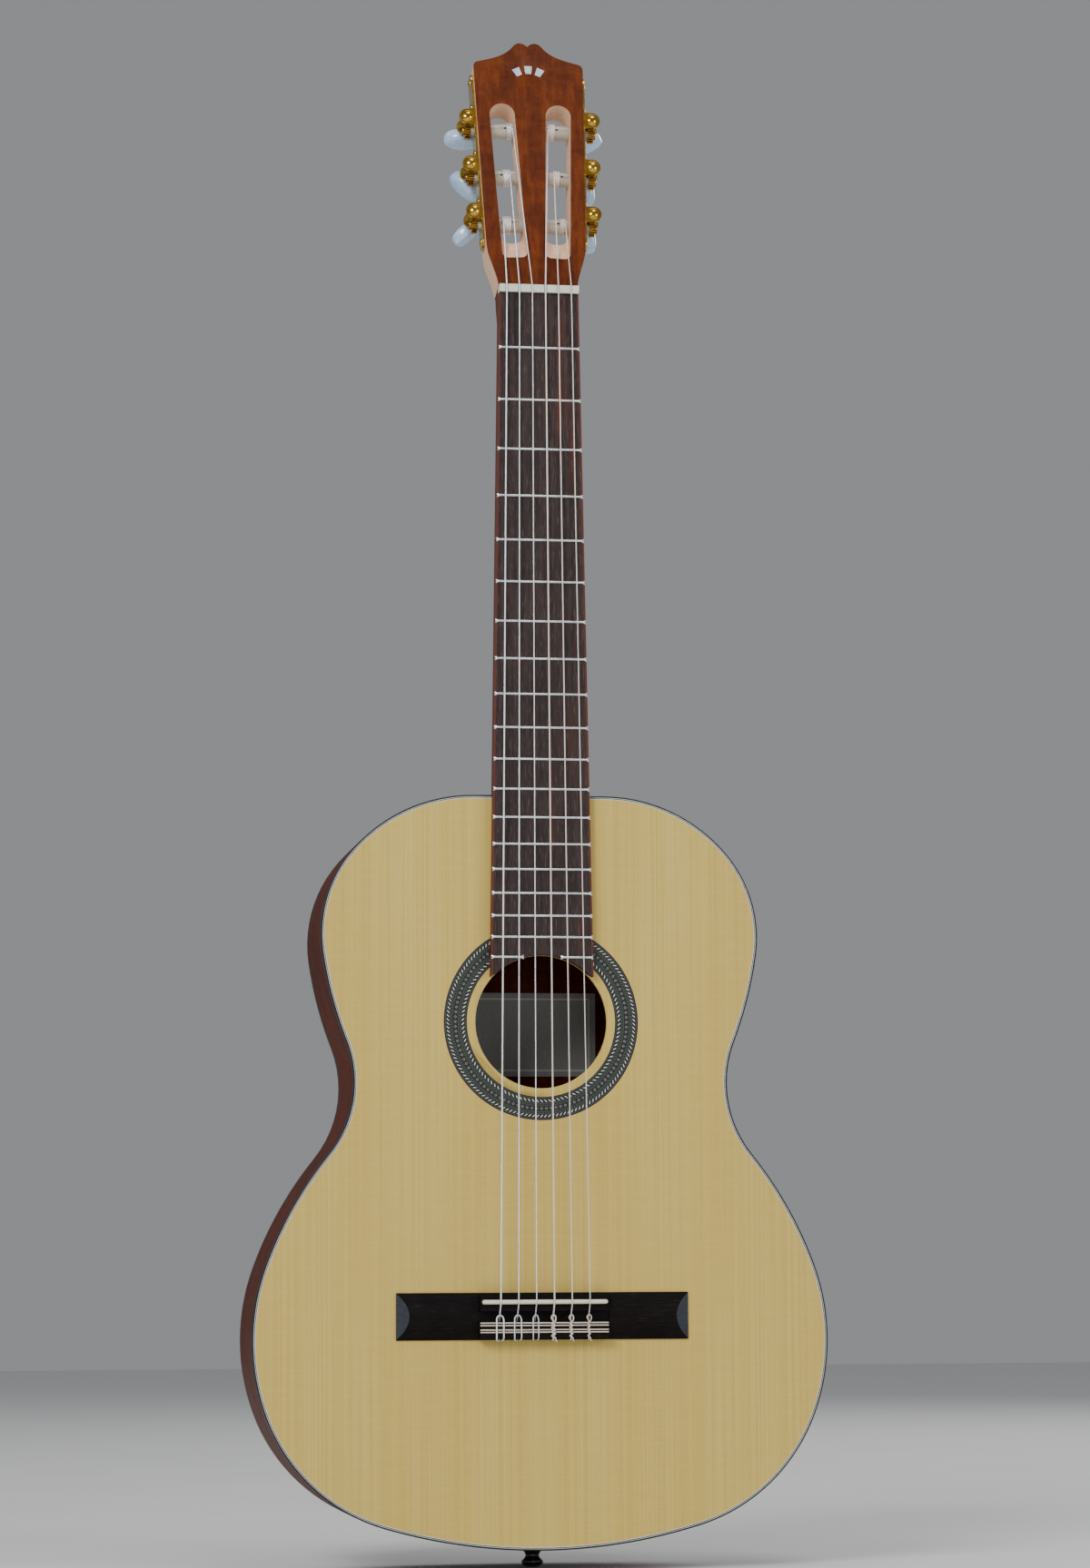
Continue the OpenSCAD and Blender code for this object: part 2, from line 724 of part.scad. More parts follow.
// The place along a roller of a point at distance u from the head's centreline
function along_roller(s) = (s[4] - head_hw - (s[2] - 2) * tuner_gap * sin(side_lean)) / cos(side_lean);
function wrap_x(s, k) = along_roller(s) + s[5] * k * (2 * s[1] + wrap_gap);
function string_hole_x(s) = wrap_x(s, wraps + 1) + s[5] * 0.8;

module winding(i) {
    s = strings[i - 1];
    color(i < 4 ? "#d9dbde" : "#e9d6cd") on_tuner(i) for (k = [1:wraps])
        translate([wrap_x(s, k), 0, 0]) rotate([0, 90, 0]) rotate_extrude()
            translate([roller_r + s[1] + 0.02, 0]) circle(r = s[1], $fn = 24);
}

// A gear with one tooth towards the worm
module gear(i) {
    tip_r = 5.5;
    root_r = 4.05;
    tip_hw = 0.24;
    root_hw = 0.6;
    color("#b8892f") on_tuner(i) {
        translate([gear_x, 0, 0]) rotate([0, 90, 0]) linear_extrude(gear_w) difference() {
            union() {
                circle(r = root_r);
                for (k = [0:teeth - 1]) rotate(180 + 360 * k / teeth)
                    polygon([[root_r - 0.3, -root_hw], [tip_r, -tip_hw], [tip_r, tip_hw],
                        [root_r - 0.3, root_hw]]);
            }
            circle(r = 1.8);
        }
        gear_screw();
    }
}

module gear_screw() {
    head_r = 3;
    translate([gear_x + gear_w - 3, 0, 0]) rod_x(1, 3.2, 24);
    difference() {
        translate([gear_x + gear_w, 0, 0]) rod_x(head_r, 1.4, 32);
        translate([gear_x + gear_w + 0.8, -0.4, -head_r - 1]) cube([2, 0.8, 2 * head_r + 2]);
    }
}

// A worm: its shaft, and a thread with a gap facing the gear's tooth
module worm(i) {
    core_r = 1.4;
    thread_r = 2.6;
    root_turn = 75;
    tip_turn = 23;
    half_len = 4.4;
    color("#b8892f") on_tuner(i) translate([worm_x, 0, worm_dz]) {
        translate([0, -half_len, 0]) rotate([-90, 0, 0])
            linear_extrude(2 * half_len, twist = -360 * 2 * half_len / worm_pitch, slices = 40, $fn = 9)
            rotate(-90 - 360 * half_len / worm_pitch) polygon(concat(
                [for (t = [-tip_turn, tip_turn]) thread_r * [cos(t), sin(t)]],
                [for (t = [root_turn:(360 - 2 * root_turn) / 6:361 - root_turn])
                    core_r * [cos(t), sin(t)]]));
        translate([0, -lug_y - lug_t, 0]) rod_y(shaft_r, lug_y + lug_t - half_len);
        translate([0, half_len, 0]) rod_y(shaft_r, button_start + button_bore - half_len);
        translate([0, button_start - collar_l, 0]) collar();
    }
}

module collar() {
    difference() {
        rod_y(2.6, collar_l, 32);
        translate([0, -1, 0]) rod_y(shaft_r, 5);
    }
}

// The button's oval outline, k times its full size
module oval(k) {
    polygon([for (t = [0:15:345]) [k * button_hw * cos(t), k * button_hl * sin(t)]]);
}

module button(i) {
    color("#dfe6f0") on_tuner(i) translate([worm_x, button_start + button_hl, worm_dz])
        rotate([0, -button_turn[i - 1], 0]) difference() {
            hull() {
                translate([0, 0, -button_t / 4]) linear_extrude(button_t / 2) oval(1);
                translate([0, 0, -button_t / 2]) linear_extrude(button_t) oval(0.72);
            }
            translate([0, -button_hl - 1, 0]) rod_y(shaft_r + 0.08, button_bore + 1, 32);
        }
}

// ---------- nodes ----------

soundboard();
back();
rib(-1);  // rib_bass
rib(1);  // rib_treble
neck_block();
tail_block();
linings();
fan_braces();
harmonic_bars();
back_braces();
rosette();
top_binding();
back_binding();
label();
neck_shaft();
heel();
headstock();
fretboard();
frets();
nut();
head_inlays();
bridge();
tie_block_inlays();
saddle();
bass_strings();
treble_strings();
end_pin();
tuner_plate(-1);  // tuner_plate_bass
tuner_plate(1);  // tuner_plate_treble
plate_screws();
for (i = tuners) {
    button(i);
    worm(i);
    gear(i);
    roller(i);
    winding(i);
}
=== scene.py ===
import math
import random

import bpy
from mathutils import Matrix, Vector


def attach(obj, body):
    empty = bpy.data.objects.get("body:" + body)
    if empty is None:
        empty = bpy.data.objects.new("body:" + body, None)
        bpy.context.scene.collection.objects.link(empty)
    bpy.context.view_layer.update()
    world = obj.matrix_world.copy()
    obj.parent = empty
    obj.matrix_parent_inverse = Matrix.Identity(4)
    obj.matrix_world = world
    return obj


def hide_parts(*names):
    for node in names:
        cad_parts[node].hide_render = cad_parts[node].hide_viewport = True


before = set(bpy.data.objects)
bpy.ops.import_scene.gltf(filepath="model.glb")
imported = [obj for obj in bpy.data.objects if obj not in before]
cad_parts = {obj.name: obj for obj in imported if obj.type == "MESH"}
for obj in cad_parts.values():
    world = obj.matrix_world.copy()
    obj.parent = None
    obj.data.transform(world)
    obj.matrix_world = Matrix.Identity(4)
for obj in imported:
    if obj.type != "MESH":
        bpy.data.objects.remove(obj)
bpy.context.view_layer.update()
mm = 0.001
print("frame loaded with", len(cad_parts), "nodes")


# ----- working with pieces -----

def deselectAll():
    if bpy.context.mode != "OBJECT":
        bpy.ops.object.mode_set(mode="OBJECT")
    bpy.ops.object.select_all(action="DESELECT")


def activate(piece):
    deselectAll()
    piece.select_set(True)
    bpy.context.view_layer.objects.active = piece
    return piece


def nameNew(name):
    piece = bpy.context.object
    piece.name = name
    piece.data.name = name
    return piece


def fixPlace(piece):
    activate(piece)
    bpy.ops.object.transform_apply(location=True, rotation=True, scale=True)
    return piece


def editAll(piece):
    activate(piece)
    bpy.ops.object.mode_set(mode="EDIT")
    bpy.ops.mesh.select_all(action="SELECT")


def leaveEdit():
    bpy.ops.object.mode_set(mode="OBJECT")


def outward(piece):
    editAll(piece)
    bpy.ops.mesh.normals_make_consistent(inside=False)
    leaveEdit()


def smooth(piece, angle=35):
    activate(piece)
    bpy.ops.object.shade_smooth_by_angle(angle=math.radians(angle))
    return piece


def applyModifiers(piece):
    activate(piece)
    for modifier in list(piece.modifiers):
        bpy.ops.object.modifier_apply(modifier=modifier.name)
    return piece


# rounds the sharp edges and keeps the flats flat in the shading
def roundEdges(piece, width, segments=2, angle=30):
    bevel = piece.modifiers.new("roundedEdges", "BEVEL")
    bevel.width = width * mm
    bevel.segments = segments
    bevel.limit_method = "ANGLE"
    bevel.angle_limit = math.radians(angle)
    bevel.miter_outer = "MITER_ARC"
    weigh = piece.modifiers.new("flatFlats", "WEIGHTED_NORMAL")
    weigh.keep_sharp = True
    return applyModifiers(piece)


# a merged copy of a CAD node, tidied so that it can be worked on
def copyNode(nodeName, pieceName, flat=0.6):
    piece = bpy.data.objects.new(pieceName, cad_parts[nodeName].data.copy())
    piece.data.name = pieceName
    bpy.context.scene.collection.objects.link(piece)
    editAll(piece)
    bpy.ops.mesh.remove_doubles(threshold=0.002 * mm)
    bpy.ops.mesh.dissolve_limited(angle_limit=math.radians(flat))
    leaveEdit()
    return piece


# a skin over rows of points, each row closed on itself; ends are filled unless the rows close too
def loft(name, rows, closedRow=True, ends=True):
    wide = len(rows[0]) + (1 if closedRow else 0)
    deselectAll()
    bpy.ops.mesh.primitive_grid_add(x_subdivisions=wide - 1, y_subdivisions=len(rows) - 1, size=1)
    piece = nameNew(name)
    for r, row in enumerate(rows):
        points = list(row) + ([row[0]] if closedRow else [])
        for c, point in enumerate(points):
            piece.data.vertices[r * wide + c].co = point
    editAll(piece)
    bpy.ops.mesh.remove_doubles(threshold=0.001 * mm)
    if ends:
        bpy.ops.mesh.fill_holes(sides=0)
    bpy.ops.mesh.select_all(action="SELECT")
    bpy.ops.mesh.normals_make_consistent(inside=False)
    leaveEdit()
    return piece


# a turned piece from a profile of radii and heights in millimetres, about one of the axes
def turned(name, profile, around, axis):
    rows = []
    for radius, height in profile:
        turns = [2 * math.pi * k / around for k in range(around)]
        flat = [(radius * math.cos(turn), radius * math.sin(turn)) for turn in turns]
        if axis == "X":
            rows.append([(height * mm, a * mm, b * mm) for a, b in flat])
        elif axis == "Y":
            rows.append([(a * mm, height * mm, b * mm) for a, b in flat])
        else:
            rows.append([(a * mm, b * mm, height * mm) for a, b in flat])
    return loft(name, rows, ends=False)


# takes a box out of a piece
def cutBox(piece, location, scale):
    deselectAll()
    bpy.ops.mesh.primitive_cube_add(size=1, location=location, scale=scale)
    box = fixPlace(nameNew("cutter"))
    cut = piece.modifiers.new("cut", "BOOLEAN")
    cut.object = box
    cut.solver = "EXACT"
    applyModifiers(piece)
    bpy.data.objects.remove(box)


# a round tube along points given in metres
def tube(name, points, radius, around=8):
    wire = bpy.data.curves.new(name, "CURVE")
    wire.dimensions = "3D"
    wire.bevel_depth = radius
    wire.bevel_resolution = max(0, around // 2 - 2)
    wire.use_fill_caps = True
    spline = wire.splines.new("POLY")
    spline.points.add(len(points) - 1)
    for place, point in zip(spline.points, points):
        place.co = (*point, 1)
    piece = bpy.data.objects.new(name, wire)
    bpy.context.scene.collection.objects.link(piece)
    activate(piece)
    bpy.ops.object.convert(target="MESH")
    piece = nameNew(name)
    editAll(piece)
    bpy.ops.mesh.remove_doubles(threshold=0.001 * mm)
    bpy.ops.mesh.normals_make_consistent(inside=False)
    leaveEdit()
    return smooth(piece, 50)


# more points along a path, so that it bends smoothly
def easePath(points, steps):
    eased = []
    for k in range(len(points) - 1):
        a = points[max(k - 1, 0)]
        b, c = points[k], points[k + 1]
        d = points[min(k + 2, len(points) - 1)]
        for step in range(steps):
            t = step / steps
            eased.append(tuple(0.5 * (2 * q + (r - p) * t + (2 * p - 5 * q + 4 * r - s) * t * t
                               + (3 * q - p - 3 * r + s) * t ** 3) for p, q, r, s in zip(a, b, c, d)))
    return eased + [tuple(points[-1])]


def joinPieces(name, pieces):
    deselectAll()
    for piece in pieces:
        piece.select_set(True)
    bpy.context.view_layer.objects.active = pieces[0]
    if len(pieces) > 1:
        bpy.ops.object.join()
    return nameNew(name)


# moves a piece's mesh to a place and keeps its faces outward
def setAt(piece, place):
    piece.matrix_world = place
    fixPlace(piece)
    if place.determinant() < 0:
        outward(piece)
    return piece


# a second finish on the faces that a test picks out
def paintFaces(piece, finish, picks):
    piece.data.materials.append(finish)
    last = len(piece.data.materials) - 1
    for face in piece.data.polygons:
        if picks(face):
            face.material_index = last


def finishPiece(piece, body, finish, slotName, *nodes):
    piece.data.materials.clear()
    piece.data.materials.append(finish)
    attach(piece, body)
    if nodes:
        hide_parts(*nodes)
    return piece


# ----- finishes -----

shaderSockets = {"metal": "Metallic", "rough": "Roughness", "coat": "Coat Weight",
                 "coatRough": "Coat Roughness", "clear": "Transmission Weight",
                 "specular": "Specular IOR Level", "under": "Subsurface Weight",
                 "underScale": "Subsurface Scale"}


# a function that adds a node to a finish, with its inputs and settings
def nodeAdder(finish):
    tree = finish.node_tree

    def add(kind, inputs=None, **settings):
        node = tree.nodes.new("ShaderNode" + kind)
        for key, value in settings.items():
            setattr(node, key, value)
        for key, value in (inputs or {}).items():
            if isinstance(value, bpy.types.NodeSocket):
                tree.links.new(value, node.inputs[key])
            else:
                node.inputs[key].default_value = value
        return node

    return add


def startFinish(name, **sockets):
    finish = bpy.data.materials.new(name)
    finish.use_nodes = True
    shader = finish.node_tree.nodes["Principled BSDF"]
    for key, value in sockets.items():
        shader.inputs[shaderSockets[key]].default_value = value
    return finish, shader, nodeAdder(finish)


def objectPlace(add, scale=(1, 1, 1), mirrored=False):
    place = add("TexCoord").outputs["Object"]
    if mirrored:
        parts = add("SeparateXYZ", {0: place})
        half = sizeOf(add, parts.outputs[0])
        place = add("CombineXYZ", {0: half, 1: parts.outputs[1], 2: parts.outputs[2]}).outputs[0]
    return add("Mapping", {"Vector": place, "Scale": scale}).outputs[0]


def cloud(add, place, detail=3.0, rough=0.55, bend=0.0):
    return add("TexNoise", {"Vector": place, "Scale": 1.0, "Detail": detail, "Roughness": rough,
                            "Distortion": bend}).outputs["Fac"]


def spread(add, value, low, high, toLow=0.0, toHigh=1.0):
    return add("MapRange", {0: value, 1: low, 2: high, 3: toLow, 4: toHigh}).outputs[0]


def blendColour(add, factor, first, second, way="MIX"):
    return add("Mix", {0: factor, 6: first, 7: second}, data_type="RGBA", blend_type=way).outputs[2]


def sumOf(add, first, second, way="ADD"):
    return add("Math", {0: first, 1: second}, operation=way).outputs[0]


def sizeOf(add, value):
    return add("Math", {0: value}, operation="ABSOLUTE").outputs[0]


def roughen(add, shader, height, strength, distance):
    node = add("Bump", {"Height": height, "Strength": strength, "Distance": distance})
    shader.id_data.links.new(node.outputs[0], shader.inputs["Normal"])


def feed(shader, socketName, value):
    shader.id_data.links.new(value, shader.inputs[socketName])


def colour(red, green, blue):
    return tuple((part / 255) ** 2.2 for part in (red, green, blue)) + (1.0,)


# wood from four layers of noise drawn out along the grain: lines, streaks, silk and pores
def woodFinish(name, look):
    finish, shader, add = startFinish(name, coat=look["coat"], coatRough=look["coatRough"],
                                      specular=look["specular"])

    def grain(across, along, *shape):
        scale = tuple(along if k == look["axis"] else across for k in range(3))
        return cloud(add, objectPlace(add, scale, look["mirrored"]), *shape)

    fine = grain(look["fine"], look["fine"] / look["stretch"], 4.0, 0.6, 0.15)
    broad = grain(look["broad"], look["broad"] / look["ribbon"], 3.0, 0.5, 0.25)
    silk = grain(55, look["silk"], 2.0, 0.5, 0.8)
    pores = grain(look["poreAcross"], look["poreAlong"], 2.0, 0.5)
    lines = spread(add, fine, look["fineLow"], look["fineHigh"])
    base = blendColour(add, lines, look["dark"], look["light"])
    base = blendColour(add, spread(add, broad, look["streakLow"], look["streakHigh"], 0, look["streakMost"]),
                       base, look["streak"])
    base = blendColour(add, spread(add, silk, 0.4, 0.75, 0, look["silkMost"]), base, look["silkColour"])
    pits = spread(add, pores, look["poreLow"], look["poreHigh"], 0, look["poreMost"])
    base = blendColour(add, pits, base, look["pore"])
    feed(shader, "Base Color", base)
    feed(shader, "Roughness", spread(add, fine, 0.3, 0.7, look["roughLow"], look["roughHigh"]))
    roughen(add, shader, sumOf(add, lines, pits, "SUBTRACT"), look["bump"], 0.00015)
    return finish


spruceLook = {
    "axis": 2, "mirrored": True, "fine": 750, "ribbon": 14, "stretch": 260, "fineLow": 0.33, "fineHigh": 0.6,
    "dark": colour(194, 164, 80), "light": colour(207, 181, 97), "broad": 26, "streakLow": 0.48,
    "streakHigh": 0.72, "streakMost": 0.5, "streak": colour(196, 163, 78), "silk": 420, "silkMost": 0.18,
    "silkColour": colour(218, 196, 116), "poreAcross": 700, "poreAlong": 22, "poreLow": 0.66,
    "poreHigh": 0.78, "poreMost": 0.3, "pore": colour(180, 142, 70), "roughLow": 0.42, "roughHigh": 0.56,
    "coat": 0.1, "coatRough": 0.45, "specular": 0.3, "bump": 0.1}
mahoganyLook = {
    "axis": 2, "mirrored": False, "fine": 420, "stretch": 40, "fineLow": 0.3, "fineHigh": 0.7,
    "dark": colour(90, 40, 13), "light": colour(112, 54, 20), "broad": 120, "ribbon": 110, "streakLow": 0.42,
    "streakHigh": 0.58, "streakMost": 0.6, "streak": colour(66, 26, 9), "silk": 170, "silkMost": 0.16,
    "silkColour": colour(136, 72, 32), "poreAcross": 2400, "poreAlong": 190, "poreLow": 0.6, "poreHigh": 0.68,
    "poreMost": 0.6, "pore": colour(50, 20, 9), "roughLow": 0.42, "roughHigh": 0.56, "coat": 0.03,
    "coatRough": 0.35, "specular": 0.14, "bump": 0.2}
# paler mahogany: plain paler wood on the slot walls, and painted highlight on the head's lit sides, rounded
# edges and string ramps
paleAndLitLook = dict(mahoganyLook, dark=colour(214, 172, 142), light=colour(236, 204, 176),
               streak=colour(220, 178, 148), pore=colour(188, 142, 112), poreMost=0.45,
               silkColour=colour(232, 198, 170), roughLow=0.55, roughHigh=0.7, coat=0.0)
bodyLook = dict(mahoganyLook, mirrored=True, dark=colour(74, 26, 6), light=colour(98, 40, 11),
                streak=colour(60, 20, 4), broad=60, coat=0.0, roughLow=0.42, roughHigh=0.55,
                specular=0.05)
rosewoodLook = {
    "axis": 2, "mirrored": False, "fine": 520, "ribbon": 14, "stretch": 30, "fineLow": 0.32, "fineHigh": 0.68,
    "dark": colour(34, 26, 26), "light": colour(58, 45, 43), "broad": 130, "streakLow": 0.58,
    "streakHigh": 0.72, "streakMost": 0.8, "streak": colour(84, 40, 28), "silk": 60, "silkMost": 0.15,
    "silkColour": colour(80, 66, 62), "poreAcross": 1500, "poreAlong": 130, "poreLow": 0.58, "poreHigh": 0.66,
    "poreMost": 0.5, "pore": colour(92, 78, 74), "roughLow": 0.45, "roughHigh": 0.62, "coat": 0.0,
    "coatRough": 0.3, "specular": 0.3, "bump": 0.35}
bridgeLook = dict(rosewoodLook, axis=0, dark=colour(9, 5, 6), light=colour(19, 12, 12),
                  streak=colour(30, 17, 16), pore=colour(50, 40, 38), poreMost=0.35, silkMost=0.08,
                  silkColour=colour(48, 40, 38), specular=0.12)
# painted reflection: the bridge wings' end facets get a pale blue-grey that stands in for the light they
# reflect
facetReflectionLook = dict(bridgeLook, dark=colour(38, 42, 49), light=colour(52, 57, 65), streak=colour(44, 46, 52),
                 pore=colour(34, 34, 38), silkColour=colour(58, 63, 72), specular=0.3)
cedarLook = dict(mahoganyLook, dark=colour(160, 116, 74), light=colour(206, 166, 116),
                 streak=colour(178, 132, 86), pore=colour(136, 92, 54), silkColour=colour(220, 186, 140),
                 coat=0.0, roughLow=0.6, roughHigh=0.75)

spruce = woodFinish("spruceTop", spruceLook)
spruceBar = woodFinish("spruceBars", dict(spruceLook, mirrored=False, coat=0.0, roughLow=0.6, roughHigh=0.75))
spruceCross = woodFinish("spruceCrossBars", dict(spruceLook, axis=0, mirrored=False, coat=0.0,
                                                 roughLow=0.6, roughHigh=0.75))
mahoganyBody = woodFinish("mahoganyBody", bodyLook)
mahoganyNeck = woodFinish("mahoganyNeck", mahoganyLook)
mahoganyPaleAndLit = woodFinish("mahoganyPaleAndLit", paleAndLitLook)
cedar = woodFinish("cedarLining", cedarLook)
rosewoodBridge = woodFinish("rosewoodBridge", bridgeLook)
rosewoodFacetReflection = woodFinish("rosewoodFacetReflection", facetReflectionLook)


# the fingerboard is rosewood with a painted highlight: a paler strip along each long edge stands in for light
# falling on the board's edges
def boardFinishLitEdges(look, edge):
    finish = woodFinish("rosewoodBoardLitEdges", look)
    shader = finish.node_tree.nodes["Principled BSDF"]
    add = nodeAdder(finish)
    base = shader.inputs["Base Color"].links[0].from_socket
    parts = add("SeparateXYZ", {0: add("TexCoord").outputs["Object"]})
    half = sizeOf(add, parts.outputs[0])
    taper = add("Math", {0: parts.outputs[2], 1: edge["taper"], 2: -edge["start"]}, operation="MULTIPLY_ADD")
    beyond = sumOf(add, half, taper.outputs[0])
    # painted highlight: the strip within the given width of each long edge
    strip = spread(add, beyond, -edge["width"], -edge["width"] + 0.0002)
    litShare = sumOf(add, strip, edge["most"], "MULTIPLY")
    feed(shader, "Base Color", blendColour(add, litShare, base, edge["colour"]))
    return finish


# painted highlight along the board's long edges: its taper, start, width, share and colour
boardLitEdge = {"taper": 0.016, "start": 0.026 + 0.016 * 0.8073, "width": 0.0013, "most": 0.8,
             "colour": colour(98, 48, 34)}
rosewoodBoardLitEdges = boardFinishLitEdges(rosewoodLook, boardLitEdge)


def plasticFinish(name, base, tint, rough=0.35, size=160, under=0.0, coat=0.2, low=0.35, high=0.7):
    finish, shader, add = startFinish(name, coat=coat, coatRough=0.2, under=under, underScale=0.002)
    mottle = cloud(add, objectPlace(add, (size, size, size)), 4.0, 0.6, 0.4)
    feed(shader, "Base Color", blendColour(add, spread(add, mottle, low, high), base, tint))
    feed(shader, "Roughness", spread(add, mottle, 0.3, 0.7, rough * 0.85, rough * 1.2))
    roughen(add, shader, cloud(add, objectPlace(add, (2600, 2600, 2600)), 2.0), 0.05, 0.00005)
    return finish


def metalFinish(name, base, tint, rough, scratch=(900, 900, 60), metal=1.0):
    finish, shader, add = startFinish(name, metal=metal)
    wear = cloud(add, objectPlace(add, (220, 220, 220)), 4.0, 0.6)
    rub = cloud(add, objectPlace(add, scratch), 3.0, 0.6)
    feed(shader, "Base Color", blendColour(add, spread(add, wear, 0.35, 0.7), base, tint))
    worn = sumOf(add, wear, rub, "MULTIPLY")
    feed(shader, "Roughness", spread(add, worn, 0.1, 0.45, rough * 0.7, rough * 1.5))
    roughen(add, shader, rub, 0.06, 0.00004)
    return finish


# pearl and shell shift between pale tints in soft folded layers
def pearlFinish(name, tints, size, rough):
    finish, shader, add = startFinish(name, coat=0.8, coatRough=0.06, specular=0.6, under=0.15,
                                      underScale=0.003)
    fold = cloud(add, objectPlace(add, (size, size, size)), 3.0, 0.55, 1.8)
    glow = cloud(add, objectPlace(add, (size * 2.6, size * 2.6, size * 0.8)), 2.0, 0.5, 2.4)
    base = blendColour(add, spread(add, fold, 0.35, 0.65), tints[0], tints[1])
    feed(shader, "Base Color", blendColour(add, spread(add, glow, 0.5, 0.72, 0, 0.6), base, tints[2]))
    feed(shader, "Roughness", spread(add, fold, 0.3, 0.7, rough * 0.8, rough * 1.3))
    roughen(add, shader, fold, 0.03, 0.0002)
    return finish


blackBinding = plasticFinish("blackBinding", colour(7, 6, 6), colour(13, 11, 11), 0.42, 90, coat=0.02)
nutPlastic = plasticFinish("nutPlastic", colour(214, 218, 202), colour(226, 228, 214), 0.4, under=0.1)
saddlePlastic = plasticFinish("saddlePlastic", colour(228, 218, 192), colour(240, 233, 212), 0.38, under=0.1)
ivoryRoller = plasticFinish("ivoryRoller", colour(166, 158, 142), colour(184, 177, 162), 0.36, 120, under=0.1)
pinBlack = plasticFinish("pinBlack", colour(22, 20, 20), colour(32, 29, 28), 0.3, 300, coat=0.4)
creamLine = plasticFinish("creamLine", colour(214, 194, 176), colour(228, 212, 192), 0.45, 500)
goldPlate = metalFinish("goldPlate", colour(186, 146, 56), colour(208, 170, 78), 0.17)
gearGold = metalFinish("gearGold", colour(140, 104, 42), colour(172, 134, 64), 0.24)
fretMetal = metalFinish("fretMetal", colour(226, 229, 234), colour(243, 244, 247), 0.2, (60, 900, 900), 0.75)
screwGold = metalFinish("screwGold", colour(196, 156, 66), colour(220, 186, 98), 0.22)
pearlTints = (colour(162, 194, 232), colour(190, 216, 244), colour(218, 232, 250))
pearlButton = pearlFinish("pearlButton", pearlTints, 90, 0.16)
shell = pearlFinish("shell", (colour(168, 190, 208), colour(206, 222, 232), colour(232, 238, 236)), 260, 0.2)

lineGrey = plasticFinish("mosaicGrey", colour(84, 80, 92), colour(104, 100, 108), 0.5, 600, coat=0.0)
linePale = plasticFinish("mosaicPale", colour(196, 198, 192), colour(216, 218, 208), 0.5, 600, coat=0.0)
lineGreen = plasticFinish("mosaicGreen", colour(68, 79, 70), colour(88, 96, 86), 0.5, 600, coat=0.0)
lineBlack = plasticFinish("mosaicBlack", colour(8, 8, 9), colour(14, 14, 15), 0.5, 600, coat=0.0)
chainGreen = plasticFinish("mosaicChain", colour(118, 128, 120), colour(140, 148, 138), 0.5, 600, coat=0.0)


# fine light bars that fan out round the soundhole
def hatchFinish(name, look):
    finish, shader, add = startFinish(name, rough=0.5, specular=0.3)
    parts = add("SeparateXYZ", {0: add("TexCoord").outputs["Object"]})
    rise = sumOf(add, parts.outputs[2], look["centre"], "SUBTRACT")
    turn = add("Math", {0: rise, 1: parts.outputs[0]}, operation="ARCTAN2").outputs[0]
    wave = add("Math", {0: sumOf(add, turn, look["bars"], "MULTIPLY")}, operation="SINE").outputs[0]
    feed(shader, "Base Color", blendColour(add, spread(add, wave, 0.1, 0.8), look["dark"], look["light"]))
    return finish


hatch = hatchFinish("mosaicHatch", {"centre": 0.3333, "bars": 230.0, "dark": colour(22, 26, 24),
                                    "light": colour(74, 84, 78)})


# close windings show as fine rings along a wound string
def woundFinish(name, look):
    finish, shader, add = startFinish(name, metal=look["metal"])
    rings = add("TexWave", {"Vector": objectPlace(add), "Scale": look["rings"], "Distortion": 0.0},
                wave_type="BANDS", bands_direction="Z", wave_profile="SIN").outputs["Fac"]
    dull = cloud(add, objectPlace(add, (900, 900, 90)), 3.0)
    feed(shader, "Base Color", blendColour(add, spread(add, dull, 0.35, 0.7), look["base"], look["tint"]))
    feed(shader, "Roughness", spread(add, dull, 0.3, 0.7, look["rough"] * 0.8, look["rough"] * 1.3))
    roughen(add, shader, rings, 0.5, 0.00006)
    return finish


woundString = woundFinish("woundString", {"rings": 900.0, "base": colour(228, 230, 234),
                                          "tint": colour(244, 245, 248), "rough": 0.3, "metal": 0.65})


def nylonFinish(name, base, tint):
    finish, shader, add = startFinish(name, clear=0.12, coat=0.3, coatRough=0.1, under=0.2, underScale=0.001)
    run = cloud(add, objectPlace(add, (800, 800, 30)), 2.0)
    feed(shader, "Base Color", blendColour(add, spread(add, run, 0.35, 0.7), base, tint))
    feed(shader, "Roughness", spread(add, run, 0.3, 0.7, 0.18, 0.3))
    return finish


nylonString = nylonFinish("nylonString", colour(232, 214, 204), colour(246, 234, 226))


# blank paper with a plain ruled border; the paper's dim grey is painted shade for the dark inside of the body
def paperFinish(name, look):
    finish, shader, add = startFinish(name, specular=0.2)
    fibres = cloud(add, objectPlace(add, (700, 700, 260)), 5.0, 0.7, 0.8)
    parts = add("SeparateXYZ", {0: add("TexCoord").outputs["Object"]})
    across = sizeOf(add, parts.outputs[0])
    up = sizeOf(add, sumOf(add, parts.outputs[2], look["middle"], "SUBTRACT"))
    edge = sumOf(add, sumOf(add, across, look["halfWide"], "SUBTRACT"),
                 sumOf(add, up, look["halfHigh"], "SUBTRACT"), "MAXIMUM")
    ruled = sumOf(add, sizeOf(add, edge), look["halfLine"], "LESS_THAN")
    base = blendColour(add, spread(add, fibres, 0.3, 0.7), look["shadedPaper"], look["tint"])
    feed(shader, "Base Color", blendColour(add, ruled, base, look["ink"]))
    feed(shader, "Roughness", spread(add, fibres, 0.3, 0.7, 0.75, 0.9))
    roughen(add, shader, fibres, 0.15, 0.0001)
    return finish


# painted shade: the paper and its tint are a dim grey because the label sits in shade inside the body
shadedPaper = paperFinish("labelPaperShaded", {"middle": 0.3305, "halfWide": 0.0455, "halfHigh": 0.0235,
                                   "halfLine": 0.0006,
                                   "shadedPaper": colour(150, 150, 148), "tint": colour(166, 166, 162),
                                   "ink": colour(206, 206, 200)})
print("finishes made")


